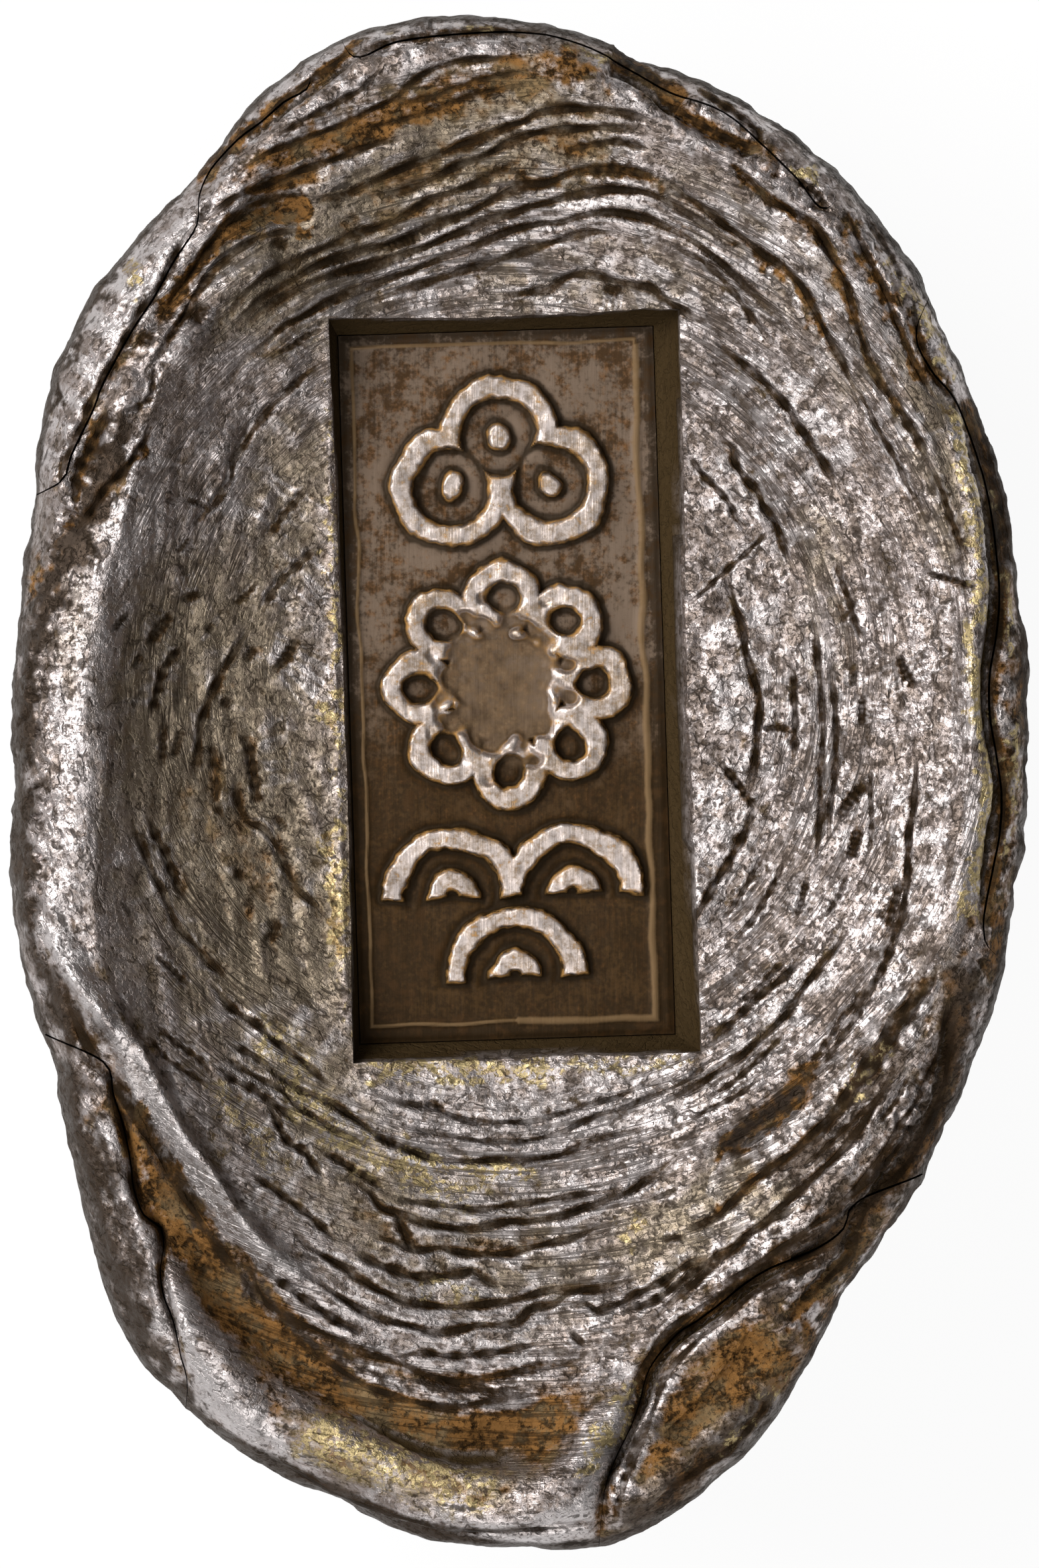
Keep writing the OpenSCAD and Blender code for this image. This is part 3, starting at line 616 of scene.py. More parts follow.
goldWashes = [
    (13, 0.8, "1430,620 1465,780 1472,860 1465,1020 1482,1140 1485,1200 1475,1260 1450,1380"),
    (9, 0.7, "494,800 502,870"), (9, 0.8, "508,915 512,990"), (12, 0.9, "503,1050 508,1105"),
    (15, 1.0, "500,1275 510,1340 513,1440"),
    (5, 0.5, "492,560 504,800 508,1000 512,1150 516,1330 522,1560"),
    (22, 0.7, "560,1606 680,1612 800,1620"), (14, 0.5, "800,1612 900,1605 1000,1606"),
    (20, 0.6, "600,1745 700,1765 800,1770"), (48, 0.6, "480,2165 600,2205 720,2240"),
    (14, 0.8, "960,2095 880,2210"), (18, 0.8, "945,1845 958,1855"), (11, 0.6, "550,45 650,38 720,42"),
    (15, 0.6, "195,400 212,432"), (12, 0.6, "1000,1560 1020,1590"),
    (14, 0.7, "1185,2070 1160,2120 1100,2170"), (14, 0.5, "860,80 905,95"), (7, 0.9, "1205,255 1240,290"),
    (7, 0.9, "1338,395 1360,450"), (8, 0.9, "1380,445 1402,500 1438,585"), (16, 0.6, "1280,1640 1330,1580"),
    (16, 0.45, "640,1940 720,1945"), (9, 0.8, "1500,730 1522,880 1512,990"),
    (8, 0.7, "1525,1080 1530,1190 1510,1290"), (40, 0.5, "420,1560 480,1680 600,1760 700,1790"),
    (30, 0.4, "330,1640 420,1760"),
]
filmWashes = [
    (190, 0.95, "300,1000 330,1200 400,1420"), (100, 0.6, "450,700 400,900"),
    (130, 0.65, "450,1600 600,1850 800,1900"), (130, 0.95, "420,420 650,250 820,200"),
    (60, 0.9, "600,300 720,265 900,240"), (70, 0.5, "1040,300 1200,420 1290,560"),
    (60, 0.4, "1200,1750 1050,1850"), (45, 0.5, "1230,800 1240,1000"),
    (80, 0.4, "1420,1460 1280,1680 1080,1860"), (60, 0.6, "1380,560 1440,800"),
    (90, 0.5, "760,420 1000,440"), (80, 0.85, "1130,1790 1000,1880"),
    (60, 0.7, "480,2180 640,2225 760,2240"), (70, 0.9, "1170,2060 1070,2160 990,2260"),
]
sootAndShadeWashes = [
    # black tarnish; the thin band along the lower left crest's outer foot is painted shadow
    (9, 0.8, "112,1560 180,1650 245,1745 305,1838 375,1928 450,1998 530,2056 640,2092 760,2098"),
    (30, 1.0, "190,660 150,750 118,830 80,900 52,980 38,1080 34,1200 36,1310 52,1400 90,1480 120,1560"),
    (26, 0.7, "150,1690 180,1800 215,1900 245,2000 262,2090"), (20, 0.6, "520,40 640,30 760,32 850,62"),
    (9, 0.8, "452,62 390,112 318,178 250,262 178,390 108,540 74,650"),
    (10, 0.7, "1200,190 1310,310 1410,450 1460,560"),
    (14, 0.6, "1510,700 1540,860 1545,1000 1545,1200 1530,1350 1500,1480"),
    (14, 0.6, "1470,1560 1430,1700 1360,1830"), (26, 0.6, "1130,1900 1160,1950 1190,1990"),
    # the two wide bands over the lower right are painted shade
    (50, 0.65, "1450,1480 1410,1640 1310,1790 1210,1880"), (34, 0.7, "1350,1590 1280,1690 1190,1770"),
    (18, 0.8, "1205,1640 1150,1682 1098,1725"), (40, 0.6, "1150,2130 1060,2210 970,2290"),
    (30, 0.95, "100,1620 128,1740 160,1860 200,1960 240,2040 300,2130"),
]
# rubbed bright places, which also paint highlights on the crests: half width in pixels, strength, trace
polishAndHighlightWashes = [
    (8, 0.9, "165,1700 190,1760 205,1802"), (8, 0.8, "216,1850 236,1910 250,1962"),
    (26, 1.0, "88,1400 120,1470 159,1530 207,1605 246,1672 290,1750 338,1817 400,1885 450,1920"),
    (60, 0.5, "600,1665 800,1690 1000,1660"), (32, 1.0, "252,1965 285,2030 330,2090 380,2142 430,2190"),
    (30, 1.0, "560,2290 700,2310 820,2310 880,2260 940,2150"),
    (48, 0.55, "228,790 188,860 152,950 130,1060 120,1180 110,1290 92,1400"),
    (18, 0.8, "300,330 250,400 190,500"),
]
for field, washes in ((brown, brownWashes), (gold, goldWashes), (film, filmWashes), (soot, sootAndShadeWashes)):
    for stroke in washes:
        wash(field, *stroke)

for halfWidth, strength, trace in polishAndHighlightWashes:
    cleanedAndLit = np.zeros(cellX.shape)
    wash(cleanedAndLit, halfWidth, strength, trace)
    for field in (brown, film, soot):
        field *= 1 - cleanedAndLit
    np.maximum(polishAndHighlight, cleanedAndLit, out=polishAndHighlight)
# edges of the patina wander by this many mm; soot takes over from gold on the rim's outer side
patina = dict(wideDrift=0.16, fineDrift=0.09, goldEnds=(0.972, 0.988), sootStarts=(0.978, 0.994))
for field in (brown, gold, film, soot, polishAndHighlight):
    drift = [patina["wideDrift"] * grain(1.4) + patina["fineDrift"] * grain(0.5) for _ in range(2)]
    field[:] = readRaster(field, cellX + drift[0], cellY + drift[1])
gold *= 1 - smoothStep(cellShare, *patina["goldEnds"])
np.maximum(soot, smoothStep(cellShare, *patina["sootStarts"]), out=soot)

# fine flow lines between the traced ones, crumpled skin and pits
skin = dict(fineLines=0.03, crumple=0.012, fineCrumple=0.006, lumps=0.04, pits=0.09, ragged=0.13, rubbed=0.03)
lined = np.clip(0.3 + 0.7 * smoothStep(cellShare, 0.42, 0.6), 0, 1)
for spot in onIngot("1250,800 1400,1100 140,1150"):
    lined *= 1 - 0.4 * bell(np.hypot(cellX - spot[0], (cellY - spot[1]) * 0.6), 3.0)
lined *= 0.65 + 0.35 * np.tanh(flowGrain(40, 0.3))
outerFolds = np.maximum(bell(turnBetween(cellTurn, 190), 55), bell(turnBetween(cellTurn, 300), 20))
lined *= 1 - outerFolds * smoothStep(cellShare, 0.72, 0.84)
lined *= 1 - smoothStep(cellShare, 0.88, 0.94)
for along, across, deep in ((40, 0.05, 1.0), (26, 0.03, 0.7)):
    vein = flowGrain(along, across, 0.4)
    relief += skin["fineLines"] * deep * lined * (0.5 * np.tanh(vein) - bell(vein, 0.2))
relief += skin["lumps"] * (flowGrain(16, 0.06) * 0.7 + grain(3.0) * 0.6)
relief -= skin["crumple"] * (np.abs(grain(1.1)) + 0.7 * np.abs(grain(0.62)))
relief -= skin["fineCrumple"] * (np.abs(grain(0.36)) - 0.6 * grain(0.3))
ragged = 0.35 + 0.65 * np.maximum.reduce([bell(turnBetween(cellTurn, at), wide) for at, wide in
                                          ((5, 30), (60, 16), (185, 24), (310, 16))])
ragged *= 1 - 0.8 * smoothStep(cellShare, 0.955, 0.985)
ragged *= smoothStep(cellShare - 0.04 * bell(turnBetween(cellTurn, 5), 34), 0.88, 0.93)
torn = np.abs(grain(1.0)) + 0.6 * np.abs(grain(0.5))
relief += skin["ragged"] * ragged * (1.6 * np.tanh(torn / 1.6) - 1.5 * smoothStep(grain(0.8), 0.8, 1.6))
dented = np.abs(grain(0.7)) + 0.6 * np.abs(grain(0.35))
relief += skin["rubbed"] * polishAndHighlight * (1 - smoothStep(cellShare, 0.93, 0.96)) * dented
pit = smoothStep(flowGrain(2.0, 0.013, 0.3), 2.0, 2.7) * smoothStep(flowGrain(30, 0.25), -0.4, 1.0)
relief -= skin["pits"] * pit
pitDark = 0.8 * pit


def blurred(raster, spread):
    fy = np.fft.fftfreq(raster.shape[0], cell)[:, None]
    fx = np.fft.rfftfreq(raster.shape[1], cell)[None]
    return np.fft.irfft2(np.fft.rfft2(raster) * np.exp(-2 * (math.pi * spread) ** 2 * (fx * fx + fy * fy)),
                         raster.shape)


# hollows of the relief gather dirt and are darkened with painted shade, and its ridges are rubbed bright and
# lightened with painted highlight
standing = blurred(relief, 0.06) - blurred(relief, 0.34)
cavityDirtAndShade = np.clip(-standing / 0.07, 0, 1)
ridgeWearAndHighlight = np.clip(standing / 0.05, 0, 1)
lineReach = 0.3
linePhase = math.pi * np.minimum(lineNear / lineReach, 1) * lineSide
lineDark *= lineNear < 1.5
print("skin: relief from", relief.min().round(2), "to", relief.max().round(2), "mm")


def newPiece(name, vertices, faces):
    mesh = bpy.data.meshes.new(name)
    mesh.from_pydata((np.asarray(vertices) * mm).tolist(), [], faces)
    mesh.update()
    piece = bpy.data.objects.new(name, mesh)
    bpy.context.scene.collection.objects.link(piece)
    return piece


def gridFaces(rows, columns):
    # quads between closed rings that follow each other
    i = np.arange(columns)
    nextI = (i + 1) % columns
    faces = []
    for j in range(rows - 1):
        a, b = j * columns, (j + 1) * columns
        faces.append(np.column_stack([a + i, b + i, b + nextI, a + nextI]))
    return np.vstack(faces)


# flank, which the photograph does not show: heights in mm, pit depth as a share of its size
flank = dict(notch=0.045, wrinkle=0.05, crease=0.06, pitCount=420, pitSize=0.55, pitDepth=0.4)


def ingotForm():
    # rings from the face's middle over the rim, down the flank and in under the base
    count = form["bearings"]
    turn = np.arange(count) * 360 / count
    heading = np.column_stack([np.cos(np.radians(turn)), np.sin(np.radians(turn))])
    reach = byTurn(np.hypot(edgeSpoke[:, 0], edgeSpoke[:, 1]), turn)[:, None]
    edge = ringMiddle + reach * heading
    foot = edge * [form["baseWidth"] / (2 * cadHigh[0]), form["baseLength"] / (2 * cadHigh[1])]
    rings, lift = [], []
    shares = np.concatenate([[0.01, 0.06, 0.12], np.linspace(form["firstShare"], 1, form["faceRings"])])
    for share in shares:
        at = ringMiddle + share * reach * heading
        rings.append(np.column_stack([at, plainHeight(turn, np.full(count, share))]))
        lift.append(readRaster(relief, at[:, 0], at[:, 1]) * (1 if share < 0.96 else 0.75))
    p, rows = form["flankPower"], form["flankRings"]
    wrinkle = bandNoise((rows, count), (9, 90), (1, 1)) + 0.6 * bandNoise((rows, count), (5, 30), (1, 1))
    crease = np.abs(bandNoise((rows, count), (6, 14), (1, 1)))
    notch = (0.8 * bandNoise((1, count), (1, 60), (1, 1), 0.8)[0]
             + 0.5 * bandNoise((1, count), (1, 20), (1, 1), 0.9)[0])
    for n, share in enumerate(shares):
        lift[n] = lift[n] + flank["notch"] * notch * smoothStep(share, 0.96, 0.992)
    edgeLift = lift[-1]
    for j in range(1, rows + 1):
        drop = math.sin(math.pi / 2 * j / rows)
        drawnIn = 1 - (1 - drop ** p) ** (1 / p)
        height = np.full(count, edgeHeight * (1 - drop))
        rings.append(np.column_stack([edge + drawnIn * (foot - edge), height]))
        fade = min(1, (rows - j) / 6)
        lift.append(edgeLift * max(0, 1 - j / 14) + fade * min(1, j / 8)
                    * (flank["wrinkle"] * wrinkle[j - 1] - flank["crease"] * crease[j - 1]))
    for j in range(1, form["baseRings"]):
        rings.append(np.column_stack([foot * (1 - j / form["baseRings"]), np.zeros(count)]))
        lift.append(np.zeros(count))
    points, lift = np.array(rings), np.array(lift)
    down = np.gradient(points, axis=0)
    around = np.roll(points, -1, 1) - np.roll(points, 1, 1)
    normal = np.cross(around, down)
    normal /= np.linalg.norm(normal, axis=2)[:, :, None] + 1e-12
    normal *= np.sign(normal[0, 0, 2])
    normal[len(shares) + rows:] = [0, 0, -1]
    pitDraw = np.random.default_rng(11)
    firstRow = len(shares) + 4
    for _ in range(flank["pitCount"]):
        j, i = pitDraw.integers(firstRow, len(points) - 3), pitDraw.integers(0, count)
        size = flank["pitSize"] * (0.35 + pitDraw.random() ** 2)
        wide = 8 + int(size / 0.02)
        span = np.ix_(np.arange(max(j - 14, firstRow), min(j + 15, len(points))),
                      np.arange(i - wide, i + wide) % count)
        away = np.linalg.norm(points[span] - points[j, i], axis=2) / size
        lift[span] -= size * flank["pitDepth"] * np.clip(1 - away ** 2, 0, 1)
    points = points + lift[:, :, None] * normal
    points[:, :, 2] = np.maximum(points[:, :, 2], 0)
    total = len(points)
    vertices = np.vstack([points.reshape(-1, 3), [[*ringMiddle, form["faceHeight"]]], [[0, 0, 0]]])
    faces = gridFaces(total, count).tolist()
    top, bottom, last = total * count, total * count + 1, (total - 1) * count
    for i in range(count):
        n = (i + 1) % count
        faces += [[top, i, n], [bottom, last + n, last + i]]
    return newPiece("ingotForm", vertices, faces)


solidForm = ingotForm()
print("form:", len(solidForm.data.vertices), "points")

# seams between the casting and its laps, and the height of each lap's seat in mm
lapSeams = dict(
    top_lap=(13.4, "500,20 535,92 600,70 700,58 800,56 880,75 950,110 1010,145 1090,175 1150,226 1200,275"
                   " 1245,320 1300,240"),
    upper_left_lap=(13.4, "440,60 470,130 430,160 395,190 360,215 320,258 303,300 300,345 265,400 235,455"
                          " 205,500 160,580 145,620 112,690 95,730 20,760"),
    right_lap=(13.4, "1430,400 1380,500 1400,560 1440,610 1475,700 1490,760 1500,830 1505,900 1500,960"
                     " 1490,1020 1490,1080 1500,1140 1508,1200 1505,1260 1495,1310 1480,1400 1500,1440"
                     " 1580,1480"),
    lower_left_lap=(13.4, "70,1560 160,1600 175,1650 190,1700 200,1750 205,1790 220,1830 245,1850"
                          " 250,1880 245,1910 250,1950 265,1990 275,2040 285,2090 270,2190"),
    lower_right_lap=(12.2, "1390,1770 1290,1810 1270,1850 1230,1880 1160,1910 1120,1935 1090,1960"
                           " 1050,1990 1020,2010 980,2060 965,2110 950,2150 930,2190 915,2230 908,2270"
                           " 900,2380"),
)
lapCut = dict(seatRise=2.0, seamGap=0.07, topHeight=24.0, past=1.35)


def lapRoom(name, grow):
    # a closed block outside the seam and above the seat
    seat, trace = lapSeams[name]
    inner = smoothPath(onIngot(trace), 0.25)
    spoke = inner - ringMiddle
    # always anticlockwise, so that the faces look outward
    if spoke[0, 0] * spoke[-1, 1] < spoke[0, 1] * spoke[-1, 0]:
        inner, spoke = inner[::-1], spoke[::-1]
    reach = np.hypot(spoke[:, 0], spoke[:, 1])[:, None]
    edgeAway = ringPlace(inner[:, 0], inner[:, 1])[2]
    outer = ringMiddle + spoke / reach * edgeAway[:, None] * lapCut["past"]
    inner = inner - spoke / reach * grow
    way = np.linspace(-1, 1, len(inner))
    floor = seat + lapCut["seatRise"] * way ** 2 - grow
    top = np.full(len(inner), lapCut["topHeight"])
    sections = np.stack([np.column_stack([inner, floor]), np.column_stack([outer, floor]),
                         np.column_stack([outer, top]), np.column_stack([inner, top])], 1)
    faces = gridFaces(len(inner), 4).tolist()
    last = (len(inner) - 1) * 4
    faces += [[0, 1, 2, 3], [last + 3, last + 2, last + 1, last]]
    return newPiece("room_" + name, sections.reshape(-1, 3), faces)


# the struck pocket, in mm and degrees: how far each wall leans out at the face, and how uneven it is
pocket = dict(socketHeight=13.35, floorHeight=14.95, mouthHeight=16.6, turn=1.8,
              width=10.3, length=23.1, leanLeft=0.2, leanRight=0.75, leanTop=0.4, leanBottom=0.55,
              waver=0.09)


def panelPlace(x, y):
    # from the panel's own axes to the ingot's
    c, s = math.cos(math.radians(pocket["turn"])), math.sin(math.radians(pocket["turn"]))
    return np.column_stack([ringMiddle[0] + c * x - s * y, ringMiddle[1] + s * x + c * y])


def pocketBlock():
    # rounded rectangles stacked from the socket's floor up past the face
    levels = [(pocket["socketHeight"], 0.0), (pocket["floorHeight"], 0.0),
              (pocket["floorHeight"] + 0.1, 0.12),
              (15.35, 0.5), (15.75, 0.85), (16.1, 1.05), (pocket["mouthHeight"] + 3.5, 1.5)]
    steps = 60
    count = 4 * steps
    t = np.linspace(0, 1, steps, endpoint=False)
    draw = np.random.default_rng(3).standard_normal(count)
    wave = np.convolve(np.pad(draw, 4, mode="wrap"), np.ones(9) / 9, "valid")
    rings = []
    for height, lean in levels:
        left = -pocket["width"] / 2 - lean * pocket["leanLeft"]
        right = pocket["width"] / 2 + lean * pocket["leanRight"]
        low = -pocket["length"] / 2 - lean * pocket["leanBottom"]
        high = pocket["length"] / 2 + lean * pocket["leanTop"]
        loop = np.vstack([np.column_stack([left + (right - left) * t, np.full(steps, low)]),
                          np.column_stack([np.full(steps, right), low + (high - low) * t]),
                          np.column_stack([right + (left - right) * t, np.full(steps, high)]),
                          np.column_stack([np.full(steps, left), high + (low - high) * t])])
        outward = loop / np.hypot(loop[:, 0], loop[:, 1])[:, None]
        loop = loop + outward * (wave * pocket["waver"] * min(lean, 1))[:, None]
        rings.append(np.column_stack([panelPlace(loop[:, 0], loop[:, 1]), np.full(count, height)]))
    faces = [f[::-1] for f in gridFaces(len(rings), count).tolist()]
    faces.append(list(range(count))[::-1])
    faces.append([(len(rings) - 1) * count + i for i in range(count)])
    return newPiece("pocketBlock", np.vstack(rings), faces)


def carve(name, source, tools):
    # a new piece from one solid and a list of (operation, tool)
    piece = bpy.data.objects.new(name, source.data.copy())
    bpy.context.scene.collection.objects.link(piece)
    for operation, tool in tools:
        cut = piece.modifiers.new("cut", "BOOLEAN")
        cut.operation = operation
        cut.solver = "MANIFOLD"
        cut.object = tool
    graph = bpy.context.evaluated_depsgraph_get()
    made = bpy.data.meshes.new_from_object(piece.evaluated_get(graph))
    piece.modifiers.clear()
    piece.data = made
    made.name = name
    return piece


pocketCut = pocketBlock()
grownRooms = [lapRoom(name, lapCut["seamGap"]) for name in laps]
body = carve("castBody", solidForm, [("DIFFERENCE", tool) for tool in grownRooms + [pocketCut]])
lapPieces = {}
rooms = []
for name in laps:
    rooms.append(lapRoom(name, 0.0))
    pieceName = "".join(w if n == 0 else w.title() for n, w in enumerate(name.split("_")))
    lapPieces[name] = carve(pieceName, solidForm, [("INTERSECT", rooms[-1]), ("DIFFERENCE", pocketCut)])
for spent in [solidForm, pocketCut] + grownRooms + rooms:
    bpy.data.objects.remove(spent)
print("body:", len(body.data.vertices), "points; laps:", [len(p.data.vertices) for p in lapPieces.values()])


def setField(piece, name, values, kind="FLOAT"):
    layer = piece.data.attributes.new(name, kind, "POINT")
    layer.data.foreach_set("value" if kind == "FLOAT" else "vector", np.asarray(values, np.float32).ravel())


# grime under the rim runs down the flank in tongues: size, waves round the ingot, start; heights in mm
grime = dict(tongues=((1, 5, 1), (0.8, 13, 0), (0.7, 29, 2), (0.5, 61, 0)), sway=0.9, down=9, up=1.5,
             strength=0.75, wallFrom=(9, 11), flowTurn=6)


def paintPiece(piece):
    # patina values at every point, read from the raster where the point lies on the face
    count = len(piece.data.vertices)
    co = np.empty(count * 3, np.float32)
    piece.data.vertices.foreach_get("co", co)
    co = co.reshape(-1, 3).astype(float) / mm
    turn, share, reach = ringPlace(co[:, 0], co[:, 1])
    face = plainHeight(turn, np.minimum(share, 1)) + readRaster(relief, co[:, 0], co[:, 1])
    height = co[:, 2]
    sunk = (smoothStep(face - height, 0.16, 0.5) * (1 - smoothStep(share, 0.93, 0.97))
            * smoothStep(height, *grime["wallFrom"]))
    below = np.maximum(sunk, smoothStep(edgeHeight - height, -0.3, 0.5))
    onFace = 1 - below
    for name, raster in (("pit", pitDark), ("brown", brown), ("gold", gold), ("film", film),
                         ("cavityDirtAndShade", cavityDirtAndShade), ("ridgeWearAndHighlight", ridgeWearAndHighlight), ("polishAndHighlight", polishAndHighlight), ("lined", lined),
                         ("lineDark", lineDark)):
        setField(piece, name, readRaster(raster, co[:, 0], co[:, 1]) * onFace)
    around = np.radians(turn)
    tongue = sum(size * np.sin(around * waves + start) for size, waves, start in grime["tongues"])
    dirt = below * (1 - sunk) * smoothStep(height + grime["sway"] * tongue,
                                           edgeHeight - grime["down"], edgeHeight + grime["up"])
    setField(piece, "soot", readRaster(soot, co[:, 0], co[:, 1]) * onFace + grime["strength"] * dirt)
    for name, raster in (("lineWide", np.minimum(lineWide, 0.24)), ("lineCos", np.cos(linePhase)),
                         ("lineSin", np.sin(linePhase))):
        setField(piece, name, readRaster(raster, co[:, 0], co[:, 1]))
    setField(piece, "wall", sunk)
    setField(piece, "under", below * (1 - sunk))
    inward = np.where(below > 0.5, reach + edgeHeight - height, share * reach)
    spread = grime["flowTurn"] * np.where(below > 0.5, np.minimum(share, 1), 1)
    flow = np.column_stack([np.cos(around) * spread, np.sin(around) * spread, inward])
    setField(piece, "flow", flow, "FLOAT_VECTOR")
    piece.data.polygons.foreach_set("use_smooth", np.ones(len(piece.data.polygons), bool))
    piece.data.set_sharp_from_angle(angle=math.radians(55))


for piece in [body] + list(lapPieces.values()):
    paintPiece(piece)


class Wire:
    # a socket of a shader tree, so that shader maths reads as Python
    def __init__(self, shader, socket):
        self.shader, self.socket = shader, socket

    def maths(self, operation, first, second=0.0):
        return self.shader.node("ShaderNodeMath", dict(operation=operation), {0: first, 1: second})

    def __add__(self, other):
        return self.maths("ADD", self, other)

    def __sub__(self, other):
        return self.maths("SUBTRACT", self, other)

    def __rsub__(self, other):
        return self.maths("SUBTRACT", other, self)

    def __mul__(self, other):
        return self.maths("MULTIPLY", self, other)

    def size(self):
        return self.maths("ABSOLUTE", self)

    __radd__ = __add__
    __rmul__ = __mul__


class Shader:
    def __init__(self, name):
        self.material = bpy.data.materials.new(name)
        self.material.use_nodes = True
        self.tree = self.material.node_tree
        self.tree.nodes.clear()

    def node(self, kind, settings=None, sockets=None, out=0):
        made = self.tree.nodes.new(kind)
        for key, value in (settings or {}).items():
            setattr(made, key, value)
        for key, value in (sockets or {}).items():
            if isinstance(value, Wire):
                self.tree.links.new(value.socket, made.inputs[key])
            else:
                made.inputs[key].default_value = value
        return Wire(self, made.outputs[out]) if len(made.outputs) else None

    def field(self, name, out="Fac"):
        return self.node("ShaderNodeAttribute", dict(attribute_name=name), out=out)

    def mix(self, factor, a, b):
        a, b = [c if isinstance(c, Wire) else (*c, 1) for c in (a, b)]
        return self.node("ShaderNodeMix", dict(data_type="RGBA"), {0: factor, 6: a, 7: b}, out=2)

    def tint(self, factor, a, b):
        return self.node("ShaderNodeMix", dict(data_type="RGBA", blend_type="MULTIPLY"),
                         {0: factor, 6: a, 7: (*b, 1)}, out=2)

    def span(self, value, low, high):
        return self.node("ShaderNodeMapRange", None, {0: value, 1: low, 2: high})

    def ease(self, value, low, high):
        return self.node("ShaderNodeMapRange", dict(interpolation_type="SMOOTHSTEP"),
                         {0: value, 1: low, 2: high})

    def spots(self, place, scale, share, low, high):
        # round spots in some of the cells of a pattern
        away = self.node("ShaderNodeTexVoronoi", dict(feature="F1"), {"Vector": place, "Scale": scale})
        pick = self.node("ShaderNodeSeparateColor", None, {0: Wire(self, away.socket.node.outputs["Color"])})
        return (1 - self.ease(away, low, high)) * self.span(pick, 1 - share, 1 - share * 0.6)

    def vector(self, operation, a, b, out=0):
        return self.node("ShaderNodeVectorMath", dict(operation=operation), {0: a, 1: b}, out=out)

    def noise(self, place, scale, detail=3.0, rough=0.55):
        return self.node("ShaderNodeTexNoise", None,
                         {"Vector": place, "Scale": scale, "Detail": detail, "Roughness": rough})

    def noiseColour(self, place, scale):
        return self.node("ShaderNodeTexNoise", None, {"Vector": place, "Scale": scale, "Detail": 2.0},
                         out="Color")

    def scaled(self, place, factor):
        return self.node("ShaderNodeVectorMath", dict(operation="SCALE"), {0: place, 3: factor})

    def most(self, a, b):
        return self.node("ShaderNodeMath", dict(operation="MAXIMUM"), {0: a, 1: b})

    def close(self, colour, metallic, roughness, height, bumpDistance, specular):
        normal = self.node("ShaderNodeBump", None,
                           {"Height": height, "Distance": bumpDistance, "Strength": 1.0})
        surface = self.node("ShaderNodeBsdfPrincipled", None, {
            "Base Color": colour, "Metallic": metallic, "Roughness": roughness, "Normal": normal,
            "Specular IOR Level": specular})
        self.node("ShaderNodeOutputMaterial", None, {"Surface": surface})
        return self.material


# silver: colours of the metal and its patina, where the soot colour also paints shade and the polished colour
# paints highlight, then facets in mm
silverLook = dict(
    clean=(0.49, 0.435, 0.425), polishedAndHighlight=(0.6, 0.56, 0.555), worn=(0.21, 0.17, 0.148),
    film=(0.255, 0.207, 0.152), soot=(0.055, 0.04, 0.03), stain=(0.09, 0.066, 0.052),
    brown=(0.2, 0.098, 0.03), deepBrown=(0.035, 0.017, 0.005), olive=(0.21, 0.15, 0.08),
    gold=(1.0, 0.83, 0.48), goldBright=(0.55, 0.44, 0.23),
    dark=(0.012, 0.007, 0.003), wall=(0.04, 0.025, 0.01), flank=(0.18, 0.142, 0.112),
    flakeSize=0.5, tilt=0.08, fineSize=0.22, fineTilt=0.085, veins=0.03, lineBump=0.05, specular=0.06,
)


class Flakes:
    # facets of a crumpled skin: height in mm, a random value for each, and the creases between them
    def __init__(self, s, place, size, tilt):
        sockets = {"Vector": place, "Scale": 1 / size}
        colour = s.node("ShaderNodeTexVoronoi", dict(feature="F1"), sockets, out="Color")
        middle = Wire(s, colour.socket.node.outputs["Position"])
        lean = s.vector("SUBTRACT", colour, (0.5, 0.5, 0.5))
        local = s.vector("SUBTRACT", place, middle)
        self.height = s.vector("DOT_PRODUCT", local, lean, out="Value") * (2 * tilt)
        self.random = s.node("ShaderNodeSeparateColor", None, {0: colour})
        edge = s.node("ShaderNodeTexVoronoi", dict(feature="DISTANCE_TO_EDGE"), sockets)
        self.crease = 1 - s.ease(edge, 0.0, 0.09)


